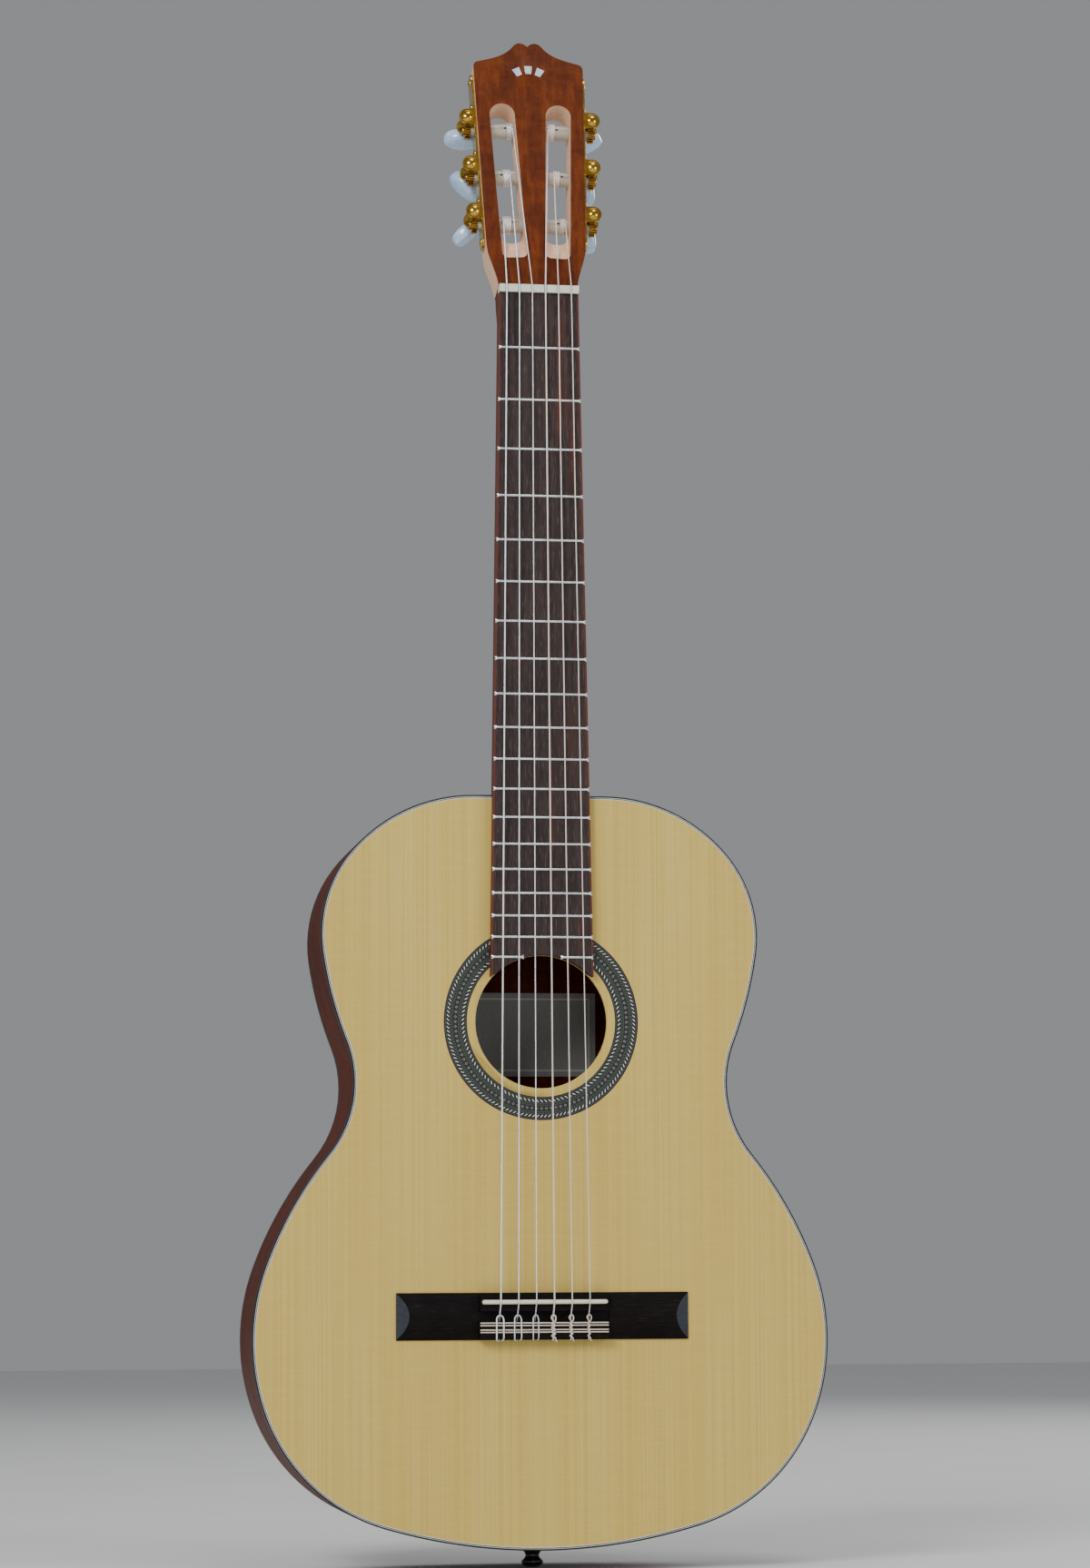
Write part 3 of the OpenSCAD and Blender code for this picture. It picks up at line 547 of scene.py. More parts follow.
# ----- soundbox -----

holeCentre = Vector((0, -0.05, 0.3333))
frontY = -50
bodyArcs = ((355, 16.5), (115, 53), (136, 40.5), (245, 19), (72, -60.5), (255, 13), (83, 50), (104, 48.5))


# the body's outline in millimetres, set in from the edge, as right half then left half
def outlinePoints(inset, chord=3.0):
    x, z, heading = 0.0, inset, 0.0
    half = [(x, z)]
    for radius, turn in bodyArcs:
        bend = radius - inset if turn > 0 else -(radius + inset)
        steps = max(2, math.ceil(abs(turn) * radius * math.pi / 180 / chord))
        for k in range(1, steps + 1):
            ahead = math.radians(heading + turn * k / steps)
            behind = math.radians(heading)
            half.append((x + bend * (math.sin(ahead) - math.sin(behind)),
                         z + bend * (math.cos(behind) - math.cos(ahead))))
        x, z = half[-1]
        heading += turn
    half.append((0.0, z))
    return half + [(-a, b) for a, b in reversed(half[1:-1])]


# a flat band between two insets of the outline, standing proud of the soundboard by a hair
def outlineBand(name, outer, inner, low, high):
    rows = []
    for inset, y in ((outer, low), (outer, high), (inner, high), (inner, low), (outer, low)):
        rows.append([(x * mm, y * mm, z * mm) for x, z in outlinePoints(inset)])
    return loft(name, rows, ends=False)


soundbox = {"holeRadius": 42.4, "holeRound": 0.25, "bindingRound": 0.5, "bandRise": 0.03, "bandDepth": 1,
            "purfling": (("purflingThin", 1.05, 1.35), ("purflingDark", 1.35, 1.85),
                         ("purflingPale", 1.85, 2.3))}

top = copyNode("soundboard", "soundboardTop")
activate(top)
bpy.ops.object.mode_set(mode="EDIT")
bpy.ops.mesh.select_all(action="DESELECT")
bpy.ops.object.mode_set(mode="OBJECT")
for edge in top.data.edges:
    ends = [top.data.vertices[k].co for k in edge.vertices]
    nearHole = all(abs(math.hypot(end.x, end.z - holeCentre.z) - soundbox["holeRadius"] * mm) < 0.2 * mm
                   for end in ends)
    edge.select = nearHole and abs(ends[0].y - ends[1].y) < 0.1 * mm
bpy.ops.object.mode_set(mode="EDIT")
bpy.ops.mesh.select_mode(type="EDGE")
bpy.ops.mesh.bevel(offset=soundbox["holeRound"] * mm, segments=3)
bpy.ops.mesh.select_mode(type="VERT")
leaveEdit()
smooth(top, 40)
finishPiece(top, "guitar", spruce, "spruce_top", "soundboard")

for nodeName, pieceName in (("rib_bass", "ribBass"), ("rib_treble", "ribTreble"), ("back", "bodyBack")):
    panel = smooth(copyNode(nodeName, pieceName), 30)
    finishPiece(panel, "guitar", mahoganyBody, "mahogany", nodeName)

for nodeName, pieceName in (("top_binding", "bindingTop"), ("back_binding", "bindingBack")):
    strip = smooth(copyNode(nodeName, pieceName), 30)
    roundEdges(strip, soundbox["bindingRound"], 2, 40)
    finishPiece(strip, "guitar", blackBinding, "black_binding", nodeName)

for pieceName, outer, inner in soundbox["purfling"]:
    band = outlineBand(pieceName, outer, inner, frontY + soundbox["bandDepth"], frontY - soundbox["bandRise"])
    smooth(band, 30)
    finishPiece(band, "guitar", lineBlack if "Dark" in pieceName else linePale, "black_binding")
print("soundbox made")


# ----- rosette -----

rosette = {
    "base": 0.8, "around": 240, "tileDepth": 0.4, "tileMiddle": 0.17, "chainRadius": 55.3, "chainTile": 0.95,
    "chainRim": 0.3, "chainCount": 112,
    "rings": (("rosetteRimOuter", 62.7, 61.7, lineBlack), ("rosetteLineViolet", 61.7, 61.5, lineGrey),
              ("rosetteRopeBedOuter", 61.5, 58.8, lineBlack), ("rosetteLineGreenA", 58.8, 58.55, lineGreen),
              ("rosetteHatchOuter", 58.55, 57.4, hatch), ("rosetteLineGreenB", 57.4, 57.15, lineGreen),
              ("rosetteChainBed", 57.15, 53.6, lineBlack), ("rosetteLineGreyA", 53.6, 53.35, lineGreen),
              ("rosetteHatchInner", 53.35, 52.15, hatch), ("rosetteLineGreyB", 52.15, 51.9, lineGreen),
              ("rosetteRopeBedInner", 51.9, 49.0, lineBlack), ("rosetteLineInner", 49.0, 48.75, lineGreen),
              ("rosetteRimInner", 48.75, 47.9, lineBlack))}


def ringBand(name, outer, inner, low, high, around):
    rows = []
    turns = [2 * math.pi * k / around for k in range(around)]
    for radius, y in ((outer, low), (outer, high), (inner, high), (inner, low), (outer, low)):
        rows.append([(radius * mm * math.cos(turn), y * mm, holeCentre.z + radius * mm * math.sin(turn))
                     for turn in turns])
    return smooth(loft(name, rows, ends=False), 30)


for pieceName, outer, inner, finish in rosette["rings"]:
    band = ringBand(pieceName, outer, inner, frontY + rosette["base"], frontY, rosette["around"])
    stands = ["rosette"] if pieceName == "rosetteRimOuter" else []
    finishPiece(band, "guitar", finish, "rosette_mosaic", *stands)


# copies of a small tile all the way round the soundhole
def spinTiles(piece, count):
    editAll(piece)
    bpy.ops.mesh.spin(steps=count - 1, dupli=True, angle=2 * math.pi * (count - 1) / count,
                      center=holeCentre, axis=(0, 1, 0))
    bpy.ops.mesh.select_all(action="SELECT")
    bpy.ops.mesh.normals_make_consistent(inside=False)
    leaveEdit()
    return piece


# a slanted dash, as one strand of the rope pattern
def ropeDash(name, radius, tall, wide, slant):
    deselectAll()
    bpy.ops.mesh.primitive_cube_add(size=1, location=(0, 0, 0),
                                    scale=(wide * mm, rosette["tileDepth"] * mm, tall * mm))
    piece = fixPlace(nameNew(name))
    editAll(piece)
    bpy.ops.mesh.bevel(offset=0.08 * mm, segments=1)
    leaveEdit()
    for point in piece.data.vertices:
        point.co.x += point.co.z * slant
        point.co.z += holeCentre.z + radius * mm
        point.co.y += (frontY + rosette["tileMiddle"]) * mm
    return piece


ropes = (("rosetteRopeOuter", 60.1, 1.55, 0.9, 0.9, 150), ("rosetteRopeInner", 50.45, 1.55, 0.95, -0.9, 118))
for pieceName, radius, tall, wide, slant, count in ropes:
    rope = spinTiles(ropeDash(pieceName, radius, tall, wide, slant), count)
    finishPiece(rope, "guitar", linePale, "rosette_mosaic")

# a chain of small diamonds, each with a dark middle
deselectAll()
bpy.ops.mesh.primitive_cylinder_add(vertices=4, radius=rosette["chainTile"] * mm,
                                    depth=rosette["tileDepth"] * mm,
                                    location=(0, (frontY + rosette["tileMiddle"]) * mm,
                                              holeCentre.z + rosette["chainRadius"] * mm),
                                    rotation=(math.pi / 2, 0, 0))
chain = fixPlace(nameNew("rosetteChain"))
activate(chain)
bpy.ops.object.mode_set(mode="EDIT")
bpy.ops.mesh.select_all(action="DESELECT")
bpy.ops.object.mode_set(mode="OBJECT")
for face in chain.data.polygons:
    face.select = face.normal.y < -0.5
bpy.ops.object.mode_set(mode="EDIT")
bpy.ops.mesh.select_mode(type="FACE")
bpy.ops.mesh.inset(thickness=rosette["chainRim"] * mm)
leaveEdit()
spinTiles(chain, rosette["chainCount"])
finishPiece(chain, "guitar", chainGreen, "rosette_mosaic")
paintFaces(chain, lineBlack, lambda face: face.normal.y < -0.9 and face.area > 0.5e-6)
print("rosette made")


# ----- neck and heel -----

scaleLength = 650.0
nutZ = 807.3
bodyLength = 478.96
headTilt = 14.0
headZ = 812.3
headFront = -53
headPlace = (Matrix.Translation((0, headFront * mm, headZ * mm))
             @ Matrix.Rotation(math.radians(-headTilt), 4, "X"))


def boardHalf(z):
    return 26 + 0.016 * max(0.0, nutZ - z)


# a D shaped section that turns square where it meets the head
def neckRow(z, depth, square, lean, count=40):
    half = boardHalf(z)
    row = [(half, frontY)]
    for k in range(count + 1):
        turn = math.pi * k / count
        power = 2 / (2 + 6 * square)
        x = half * math.copysign(abs(math.cos(turn)) ** power, math.cos(turn))
        row.append((x, frontY + 2 + (depth - 2) * abs(math.sin(turn)) ** power))
    row.append((-half, frontY))
    slope = math.tan(math.radians(headTilt)) * lean
    return [(x * mm, y * mm, (z - (y - headFront) * slope) * mm) for x, y in row]


neck = {"slices": 26, "depthBody": 18.0, "depthNut": 15.5, "flareFrom": 0.92, "depthHead": 19.3}
rows = []
for k in range(neck["slices"] + 1):
    part = k / neck["slices"]
    z = bodyLength + (headZ - bodyLength) * part
    flare = max(0.0, (part - neck["flareFrom"]) / (1 - neck["flareFrom"]))
    flare = flare * flare * (3 - 2 * flare)
    depth = neck["depthBody"] + (neck["depthNut"] - neck["depthBody"]) * part
    depth += (neck["depthHead"] - depth) * flare
    rows.append(neckRow(z, depth, flare, flare))
shaft = smooth(loft("neckShaft", rows), 40)
finishPiece(shaft, "guitar", mahoganyNeck, "mahogany_neck", "neck_shaft")

heelCuts = ((8, 30, 62), (22, 25.5, 46), (42, 19, 31), (66, 14.5, 23), (91.2, 12, 19))
rows = []
for depth, half, reach in easePath(heelCuts, 8):
    rows.append([(half * math.cos(math.pi * k / 32) * mm, (frontY + depth) * mm,
                  (bodyLength + reach * math.sin(math.pi * k / 32)) * mm) for k in range(33)])
heel = loft("neckHeel", rows)
roundEdges(smooth(heel, 40), 0.8, 2, 50)
finishPiece(heel, "guitar", mahoganyNeck, "mahogany_neck", "heel")

board = copyNode("fretboard", "fingerboard")
boardEnd = {"from": 43.7, "to": 42.5, "corner": 32.8}     # the end is drawn out to the soundhole's edge
for point in board.data.vertices:
    rise = point.co.z - holeCentre.z
    reach = math.hypot(point.co.x, rise)
    if abs(reach - boardEnd["from"] * mm) < 0.1 * mm and abs(point.co.x) < boardEnd["corner"] * mm:
        point.co.x *= boardEnd["to"] * mm / reach
        point.co.z = holeCentre.z + rise * boardEnd["to"] * mm / reach
smooth(board, 30)
roundEdges(board, 0.25, 2, 50)
finishPiece(board, "guitar", rosewoodBoardLitEdges, "rosewood", "fretboard")

# each fret is a low crowned wire with its ends filed to a slope
fretLook = {"count": 19, "width": 1.5, "flare": 2.7, "height": 1.1, "slope": 1.7, "seat": -56.52,
            "endRadius": 42.5}


def fretWire(name, z, left, right):
    rows = []
    slope, flare, width = fretLook["slope"], fretLook["flare"], fretLook["width"]
    stations = ((left, 0.1, flare), (left + slope * 0.4, 0.55, flare * 0.92), (left + slope, 1.0, width),
                (right - slope, 1.0, width), (right - slope * 0.4, 0.55, flare * 0.92), (right, 0.1, flare))
    for x, crown, wide in stations:
        turns = [math.pi * k / 12 for k in range(13)]
        rows.append([(x * mm, (fretLook["seat"] - fretLook["height"] * crown * math.sin(turn)) * mm,
                      (z + wide / 2 * math.cos(turn)) * mm) for turn in turns])
    return loft(name, rows)


fretPieces = []
for n in range(1, fretLook["count"] + 1):
    z = nutZ - scaleLength * (1 - 2 ** (-n / 12))
    half = boardHalf(z) - 0.05
    rise = z - holeCentre.z / mm
    if abs(rise) < fretLook["endRadius"]:
        gap = math.sqrt(fretLook["endRadius"] ** 2 - rise * rise) + 0.4
        fretPieces.append(fretWire("fret", z, -half, -gap))
        fretPieces.append(fretWire("fret", z, gap, half))
    else:
        fretPieces.append(fretWire("fret", z, -half, half))
fretSet = smooth(joinPieces("fretWires", fretPieces), 40)
finishPiece(fretSet, "guitar", fretMetal, "fret_metal", "frets")
print("neck made")


# ----- head -----

# the slots' walls show paler wood; the string ramps, the rounded edges and the side faces get the same paler
# colour as a painted highlight where light falls on them
def paleAndLitFaces(face):
    turned = headPlace.to_3x3().inverted() @ face.normal
    spot = headPlace.inverted() @ face.center
    inSlot = abs(spot.x) < 28 * mm and 17 * mm < spot.z < 140 * mm
    return (abs(turned.y) < 0.97 and (inSlot or turned.y < -0.1)) or abs(turned.x) > 0.6


head = smooth(copyNode("headstock", "headBlock"), 30)
roundEdges(head, 0.7, 2, 40)
finishPiece(head, "guitar", mahoganyNeck, "mahogany_neck", "headstock")
# paler slot walls, and painted highlight on the side faces, rounded edges and ramps
paintFaces(head, mahoganyPaleAndLit, paleAndLitFaces)
for face in head.data.polygons:
    if abs((headPlace.to_3x3().inverted() @ face.normal).y) > 0.9995:
        face.use_smooth = False

# the inlays stand a hair above the head's face
shells = smooth(copyNode("head_inlays", "headShells"), 30)
for point in shells.data.vertices:
    point.co += headPlace.to_3x3() @ Vector((0, -0.06 * mm, 0))
roundEdges(shells, 0.12, 2, 50)
finishPiece(shells, "guitar", shell, "shell", "head_inlays")
print("head made")


# ----- bridge -----

bridgePiece = smooth(copyNode("bridge", "bridgeBlock"), 20)
roundEdges(bridgePiece, 0.3, 2, 25)
finishPiece(bridgePiece, "guitar", rosewoodBridge, "rosewood", "bridge")
# painted reflection on the wings' slanted end facets
paintFaces(bridgePiece, rosewoodFacetReflection, lambda face: abs(face.center.x) > 84 * mm
           and 0.2 < abs(face.normal.x) < 0.6 and face.normal.y < -0.7)
saddleBar = smooth(copyNode("saddle", "saddleBar"), 30)
roundEdges(saddleBar, 0.4, 2, 50)
finishPiece(saddleBar, "guitar", saddlePlastic, "saddle_plastic", "saddle")

# a turned end pin with a waist and a domed head
pinProfile = ((0, -12.9), (3, -12.8), (5.2, -12.3), (6.5, -11.2), (7, -9.9), (6.8, -8.8), (5.6, -8.0),
              (4.8, -7.0), (4.5, -5.6), (4.7, -4.2), (5.4, -3.2), (6.8, -2.6), (7, -2.2), (7, 0), (4, 0),
              (4, 17.5), (3.4, 18), (0, 18))
endPin = smooth(turned("endPin", pinProfile, 48, "Z"), 35)
finishPiece(endPin, "guitar", pinBlack, "pin_black", "end_pin")
print("bridge made")


# ----- strings -----

# x at the nut, radius, tuner counted from the nut, side, place on the roller, which way the turns lie
strings = ((-21.3, 0.56, 1, -1, 20.2, -1), (-13, 0.46, 2, -1, 14.5, 1), (-4.5, 0.38, 3, -1, 11.5, 1),
           (4.1, 0.52, 3, 1, 11.9, 1), (12.6, 0.42, 2, 1, 14.8, 1), (21.1, 0.36, 1, 1, 20.9, -1))
stringLook = {"gap": 11.4, "liftNut": 8.2, "liftSaddle": 12.4, "saddleZ": 155.7, "holeHeight": 4.6,
              "blockTop": 8.8, "blockLow": 132.5, "blockHigh": 143.6, "loopTop": 147.9,
              "loopWide": (5.6, 5.3, 4.2), "around": 12, "notchSpare": 1.1, "notchRise": 1.9}

# the nut, with a notch opened beside each string
nutBar = smooth(copyNode("nut", "nutBar"), 30)
for x, radius, *_ in strings:
    notchY = frontY - stringLook["liftNut"] - stringLook["notchRise"]
    cutBox(nutBar, (x * mm, notchY * mm, (nutZ + 2.5) * mm),
           ((2 * radius + stringLook["notchSpare"]) * mm, 4 * mm, 8 * mm))
roundEdges(nutBar, 0.25, 2, 50)
finishPiece(nutBar, "guitar", nutPlastic, "nut_plastic", "nut")

# where the rollers lie in the head's frame
rollerRadius = 5.0
axisDepth = 10.0
middleS = 84.0
headHalf = 34.5
sideLean = math.radians(1.7)
tunerGap = 35.0


def sidePlace(side):
    place = headPlace.copy()
    if side < 0:
        place = place @ Matrix.Scale(-1, 4, (1, 0, 0))
    middle = Matrix.Translation((headHalf * mm, axisDepth * mm, middleS * mm))
    return place @ middle @ Matrix.Rotation(sideLean, 4, "Y")


def tunerPlace(row, side):
    return sidePlace(side) @ Matrix.Translation((0, 0, (row - 2) * tunerGap * mm))


# where a string leaves the nut, and the line from there to the front of its roller, in the head's frame
def headRun(string):
    x, radius, row, side, along, _ = string
    crest = headPlace.inverted() @ Vector((x * mm, (frontY - stringLook["liftNut"] - radius + 0.15) * mm,
                                           (nutZ + 4) * mm)) / mm
    rise = middleS + (row - 2) * tunerGap * math.cos(sideLean) - crest.z
    back = axisDepth - crest.y
    far = math.hypot(rise, back)
    reach = rollerRadius + radius + 0.04
    aim = math.atan2(back, rise) - math.asin(reach / far)
    run = math.sqrt(far * far - reach * reach)
    touch = Vector((side * along, crest.y + run * math.sin(aim), crest.z + run * math.cos(aim)))
    return headPlace @ (touch * mm), aim


def heights(points):
    return [(x * mm, (frontY - h) * mm, z * mm) for x, h, z in points]


# the standing part: over the nut, over the saddle and through the bridge's tie hole
def standingPart(n):
    x, radius = strings[n][0], strings[n][1]
    touch, _ = headRun(strings[n])
    saddleX = (n - 2.5) * stringLook["gap"]
    top = stringLook["liftSaddle"] + radius
    z = stringLook["saddleZ"]
    hole = stringLook["holeHeight"]
    nutTop = stringLook["liftNut"] + radius
    path = [tuple(touch)] + heights([(x, nutTop - 0.15, nutZ + 4), (x, nutTop, nutZ + 1)])
    high = stringLook["blockHigh"]
    path += heights([(saddleX, top + 0.02, z + 0.7), (saddleX, top + 0.04, z - 0.2),
                     (saddleX, top - 0.3, z - 1.1), (saddleX, hole + 0.3, high + 0.5),
                     (saddleX, hole, high - 0.5)])
    return path, saddleX, radius


# the end of a bass string: up over the tie block, round the string and back over the block
def bassTie(x, radius, wide):
    low, high, top = stringLook["blockLow"], stringLook["blockHigh"], stringLook["blockTop"] + radius + 0.05
    hole = stringLook["holeHeight"]
    side = wide / 2 - radius
    turn = stringLook["loopTop"] - radius
    return [(x, hole, high - 2), (x, hole, low + 1), (x, hole + 0.2, low - radius - 0.3),
            (x - side * 0.5, hole + 2.2, low - radius - 0.5),
            (x - side * 0.95, top - 0.9, low - radius * 0.6), (x - side, top, low + 1.2),
            (x - side, top + 0.02, (low + high) / 2), (x - side, top, high - 0.4),
            (x - side * 0.95, top - 0.5, high + 1.6), (x - side * 0.6, top - 0.6, turn - 0.6),
            (x, top - 0.3 + radius * 0.6, turn), (x + side * 0.6, top - 0.6, turn - 0.6),
            (x + side * 0.95, top - 0.5, high + 1.6), (x + side, top, high - 0.4),
            (x + side, top + 0.02, (low + high) / 2), (x + side, top, low + 1.2),
            (x + side * 0.9, top - 1.2, low - radius * 0.5), (x + side * 0.55, hole + 2, low - radius - 0.3),
            (x + side * 0.5, hole + 0.4, low - radius - 0.2)]


# the end of a treble string: a ring round the string, then twists back along the block
def trebleTie(x, radius, twists):
    low, high, top = stringLook["blockLow"], stringLook["blockHigh"], stringLook["blockTop"] + radius + 0.05
    hole = stringLook["holeHeight"]
    turn = stringLook["loopTop"] - radius
    ring = 1.5
    path = [(x, hole, high - 2), (x, hole, low + 1), (x, hole + 0.3, low - radius - 0.3),
            (x - 0.2, hole + 2.4, low - radius - 0.4), (x - 0.3, top - 0.8, low - radius * 0.5),
            (x - 0.3, top, low + 1.3), (x - 0.2, top, (low + high) / 2), (x - 0.4, top, high),
            (x - ring * 0.9, top - 0.5, high + 1.8), (x - ring * 0.7, top - 0.6, turn - 0.6),
            (x, top - 0.2, turn), (x + ring * 0.7, top - 0.6, turn - 0.6),
            (x + ring * 0.9, top - 0.5, high + 1.8)]
    spins = twists * 6
    for k in range(spins + 1):
        around = 2 * math.pi * k / 6
        path.append((x - 0.25 + 2.1 * radius * math.cos(around),
                     top + radius * 0.4 + 1.5 * radius * max(0, math.sin(around)),
                     high - 0.2 - (high - low - 0.8) * k / spins))
    end = path[-1]
    return path + [(end[0] + 0.5, top - 0.6, low - 0.9), (end[0] + 1.3, hole + 2.2, low - 1.6),
                   (end[0] + 1.7, hole + 0.2, low - 1.9)]


for pieceName, nodeName, members, finish, slotName in (
        ("bassStrings", "bass_strings", (0, 1, 2), woundString, "wound_string"),
        ("trebleStrings", "treble_strings", (3, 4, 5), nylonString, "nylon_string")):
    parts = []
    for n in members:
        path, x, radius = standingPart(n)
        parts.append(tube("string", path, radius * mm, stringLook["around"]))
        tie = bassTie(x, radius, stringLook["loopWide"][n]) if n < 3 else trebleTie(x, radius, 4)
        parts.append(tube("string", heights(easePath(tie, 4)), radius * mm, 8))
    finishPiece(joinPieces(pieceName, parts), "guitar", finish, slotName, nodeName)
print("strings made")


# ----- tuners -----

tuner = {"wormX": 5.8, "wormZ": 7.0, "plateThick": 1.5, "plateRound": 0.35, "buttonStart": 14.5,
         "buttonHalf": (12.0, 9.5, 5.0), "buttonTurn": (-35, 46, 3, 20, -80, -77), "wraps": 4,
         "wrapGap": 0.06, "capY": -7.6, "screwZ": (-47.5, -17.5, 18, 52.5, 71)}
capProfile = ((0, -2.6), (1.3, -2.5), (2.6, -2.05), (3.6, -1.3), (4.3, -0.4), (4.5, 0.4), (4.3, 1.0),
              (0, 1.0))
screwProfile = ((0, 1.3), (0.8, 1.24), (1.5, 1.02), (2.05, 0.62), (2.36, 0.15), (2.4, 0), (1, 0), (1, -7.6),
                (0, -8))

for side, nodeName, pieceName in ((-1, "tuner_plate_bass", "tunerPlateBass"),
                                  (1, "tuner_plate_treble", "tunerPlateTreble")):
    plate = smooth(copyNode(nodeName, pieceName), 30)
    roundEdges(plate, tuner["plateRound"], 2, 50)
    finishPiece(plate, "guitar", goldPlate, "gold_plate", nodeName)

    # a domed cap on the front bearing of each worm
    caps = []
    for row in (1, 2, 3):
        cap = turned("cap", capProfile, 36, "Y")
        shift = Matrix.Translation((tuner["wormX"] * mm, tuner["capY"] * mm, tuner["wormZ"] * mm))
        caps.append(setAt(cap, tunerPlace(row, side) @ shift))
    capSet = smooth(joinPieces(pieceName + "Caps", caps), 40)
    finishPiece(capSet, "guitar", goldPlate, "gold_plate")

screws = []
for side in (-1, 1):
    for z in tuner["screwZ"]:
        screw = turned("screw", screwProfile, 24, "X")
        cutBox(screw, (1.1 * mm, 0, 0), (1.2 * mm, 0.5 * mm, 6 * mm))
        random.seed(z + side)
        turn = Matrix.Rotation(random.uniform(0, math.pi), 4, "X")
        place = sidePlace(side) @ Matrix.Translation((tuner["plateThick"] * mm, 0, z * mm)) @ turn
        screws.append(setAt(screw, place))
screwSet = smooth(joinPieces("plateScrews", screws), 35)
finishPiece(screwSet, "guitar", screwGold, "gold_plate", "plate_screws")

for number in range(1, 7):
    x, radius, row, side, along, direction = strings[number - 1]
    place = tunerPlace(row, side)
    worm = smooth(copyNode(f"worm_{number}", f"wormShaft_{number}"), 35)
    finishPiece(worm, f"knob_{number}", gearGold, "gear_gold", f"worm_{number}")

    deselectAll()
    bpy.ops.mesh.primitive_uv_sphere_add(segments=40, ring_count=24, radius=1)
    button = nameNew(f"button_{number}_pearl")
    halfX, halfY, halfZ = (part * mm for part in tuner["buttonHalf"])
    for point in button.data.vertices:
        x0, y0, z0 = point.co
        reach = max(math.hypot(x0, y0), 0.0001)
        fuller = reach ** 0.55 / reach
        dip = 0.07 * (1 - x0 * x0)
        point.co = (halfX * x0 * fuller, halfY * (y0 * fuller * (1 - dip) - dip * 0.4),
                    halfZ * math.copysign(abs(z0) ** 0.6, z0))
    tilt = Matrix.Rotation(math.radians(-tuner["buttonTurn"][number - 1]), 4, "Y")
    buttonY = tuner["buttonStart"] + tuner["buttonHalf"][1]
    shift = Matrix.Translation((tuner["wormX"] * mm, buttonY * mm, tuner["wormZ"] * mm))
    setAt(button, place @ shift @ tilt)
    smooth(button, 60)
    finishPiece(button, f"knob_{number}", pearlButton, "pearl_button", f"button_{number}")

    gear = smooth(copyNode(f"gear_{number}", f"gearWheel_{number}"), 30)
    roundEdges(gear, 0.1, 1, 50)
    finishPiece(gear, f"spool_{number}", gearGold, "gear_gold", f"gear_{number}")

    spool = smooth(copyNode(f"roller_{number}", f"rollerBody_{number}"), 30)
    finishPiece(spool, f"spool_{number}", ivoryRoller, "ivory_roller", f"roller_{number}")

    # the string winds on from the side of the nut, then goes down through its hole
    start = (along - headHalf - (row - 2) * tunerGap * math.sin(sideLean)) / math.cos(sideLean)
    _, aim = headRun(strings[number - 1])
    pitch = 2 * radius + tuner["wrapGap"]
    reach = rollerRadius + radius + 0.03
    hole = start + direction * (tuner["wraps"] + 1) * pitch + direction * 0.8
    path = []
    for k in range(tuner["wraps"] * 24 + 10):
        turn = aim + 2 * math.pi * k / 24
        path.append((start + direction * pitch * k / 24, -reach * math.cos(turn), reach * math.sin(turn)))
    full = path[-1]
    path += [(full[0] + (hole - full[0]) * 0.5, full[1] * 0.98, full[2] - 0.6), (hole, reach * 0.98, 0.4),
             (hole, reach * 0.7, 0.0), (hole, 0, 0)]
    winding = tube(f"winding_{number}_turns", [(a * mm, b * mm, c * mm) for a, b, c in path], radius * mm, 8)
    setAt(winding, place)
    finish, slotName = (woundString, "wound_string") if number < 4 else (nylonString, "nylon_string")
    finishPiece(winding, f"spool_{number}", finish, slotName, f"winding_{number}")
print("tuners made")


# ----- nodes that stay, with their finishes -----

kept = {"neck_block": mahoganyNeck, "tail_block": mahoganyNeck, "linings": cedar, "fan_braces": spruceBar,
        "harmonic_bars": spruceCross, "back_braces": spruceCross, "label": shadedPaper,
        "tie_block_inlays": creamLine}
for nodeName, finish in kept.items():
    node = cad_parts[nodeName]
    if not node.material_slots:
        node.data.materials.append(finish)
    for slot in node.material_slots:
        slot.material = finish
print("kept nodes finished")


# ----- floor, light and camera -----

deselectAll()
studio = {"floorZ": -0.0131, "floorSize": 14.0, "world": (0.80, 0.82, 0.86, 1), "worldStrength": 0.34}
bpy.ops.mesh.primitive_plane_add(size=studio["floorSize"], location=(0, 0, studio["floorZ"]))
floor = fixPlace(nameNew("studioFloor"))
floorFinish, floorShader, addFloor = startFinish("paleFloor", specular=0.3)
dust = cloud(addFloor, objectPlace(addFloor, (6, 6, 6)), 4.0)
feed(floorShader, "Base Color", blendColour(addFloor, dust, colour(226, 226, 224), colour(232, 232, 230)))
feed(floorShader, "Roughness", spread(addFloor, dust, 0.3, 0.7, 0.6, 0.75))
floor.data.materials.append(floorFinish)

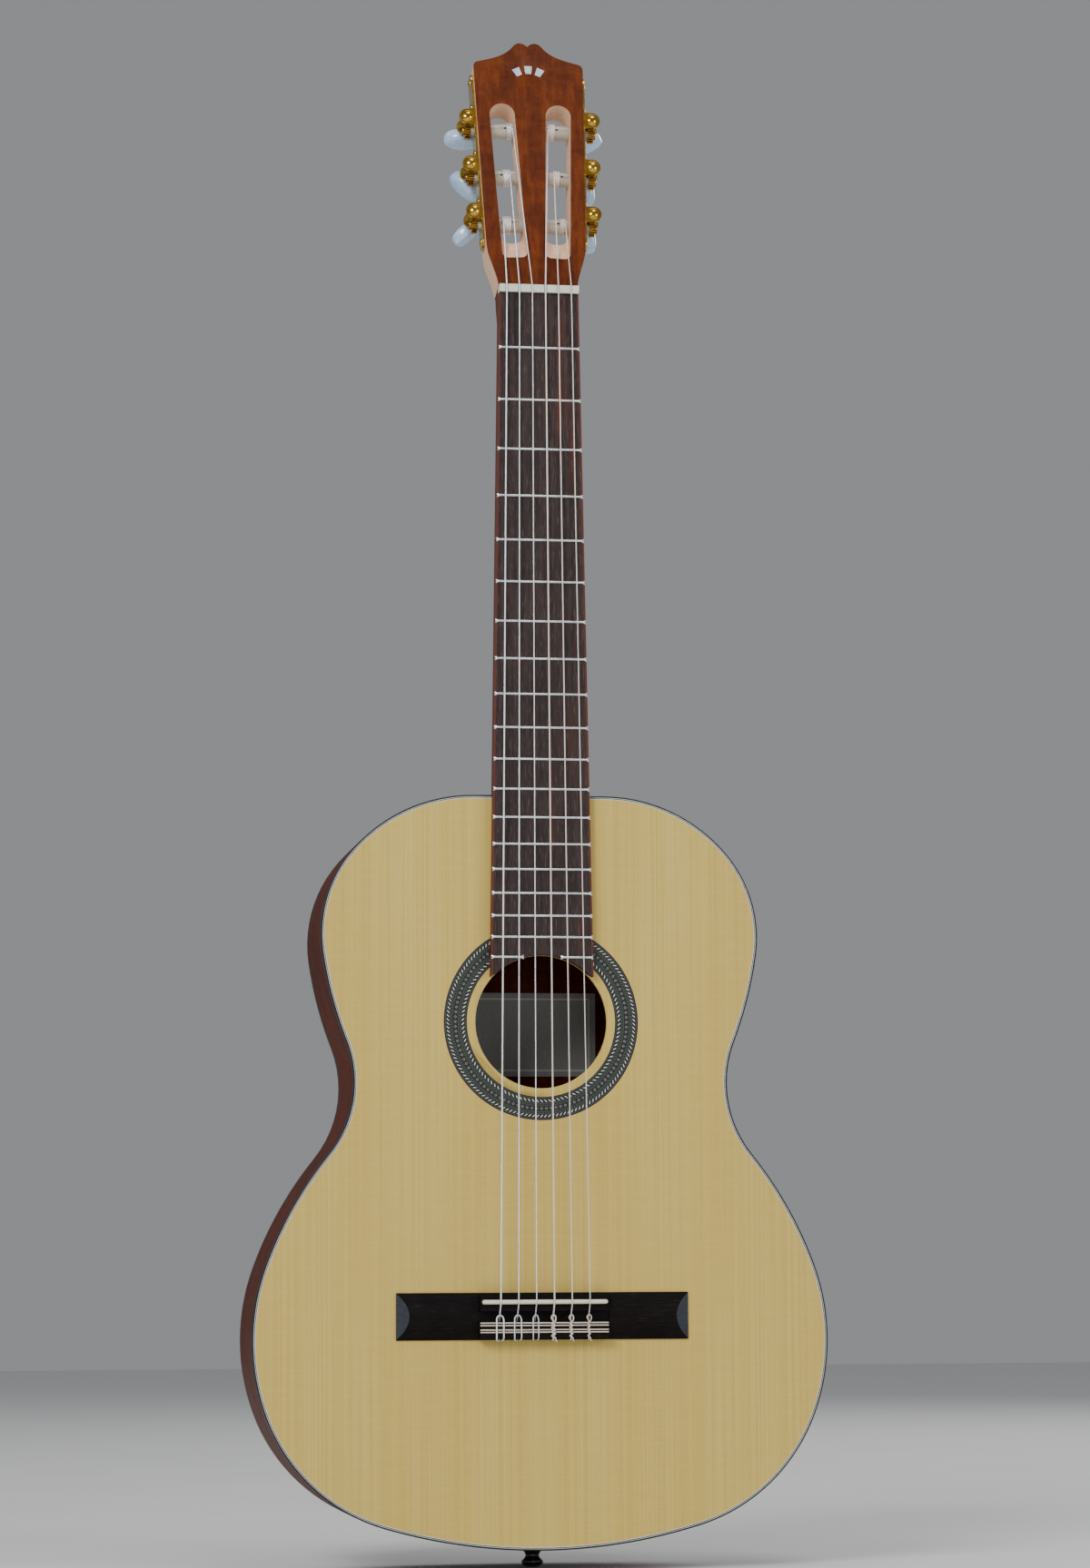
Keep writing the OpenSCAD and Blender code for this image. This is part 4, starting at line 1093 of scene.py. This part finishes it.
world = bpy.data.worlds.new("studio")
bpy.context.scene.world = world
world.use_nodes = True
world.node_tree.nodes["Background"].inputs[0].default_value = studio["world"]
world.node_tree.nodes["Background"].inputs[1].default_value = studio["worldStrength"]

# each lamp's place, what it points at, its power and its size
lamps = (("keyLamp", (-1.6, -2.3, 1.9), (0, 0, 0.55), 64, 1.2),
         ("fillLamp", (2.1, -2.2, 1.2), (0, 0, 0.5), 26, 1.4),
         ("lowLamp", (0.2, -2.8, 0.25), (0, 0, 0.2), 5, 0.9),
         ("topLamp", (0.3, -0.6, 2.6), (0, 0, 0.8), 10, 0.8),
         ("backLamp", (1.9, 2.3, 2.1), (0, 0, 0.5), 34, 1.4))
for lampName, spot, aimAt, power, size in lamps:
    light = bpy.data.lights.new(lampName, "AREA")
    light.energy = power
    light.size = size
    lamp = bpy.data.objects.new(lampName, light)
    lamp.location = spot
    lamp.rotation_euler = (Vector(aimAt) - Vector(spot)).to_track_quat("-Z", "Y").to_euler()
    bpy.context.scene.collection.objects.link(lamp)

view = {"place": (-0.4094, -2.7464, 0.1639), "yaw": 8.702, "pitch": 6.743, "roll": -0.303, "lens": 98.02,
        "film": 36.0}
yaw, pitch, roll = (math.radians(view[key]) for key in ("yaw", "pitch", "roll"))
ahead = Vector((math.sin(yaw) * math.cos(pitch), math.cos(yaw) * math.cos(pitch), math.sin(pitch)))
rightward = Vector((math.cos(yaw), -math.sin(yaw), 0))
upward = rightward.cross(ahead)
rolledRight = math.cos(roll) * rightward + math.sin(roll) * upward
rolledUp = -math.sin(roll) * rightward + math.cos(roll) * upward
cameraData = bpy.data.cameras.new("sceneCamera")
cameraData.lens = view["lens"]
cameraData.sensor_fit = "VERTICAL"
cameraData.sensor_height = view["film"]
camera = bpy.data.objects.new("sceneCamera", cameraData)
camera.matrix_world = Matrix.Translation(view["place"]) @ Matrix(
    (rolledRight, rolledUp, -ahead)).transposed().to_4x4()
bpy.context.scene.collection.objects.link(camera)
bpy.context.scene.camera = camera
print("floor, lamps and camera set")
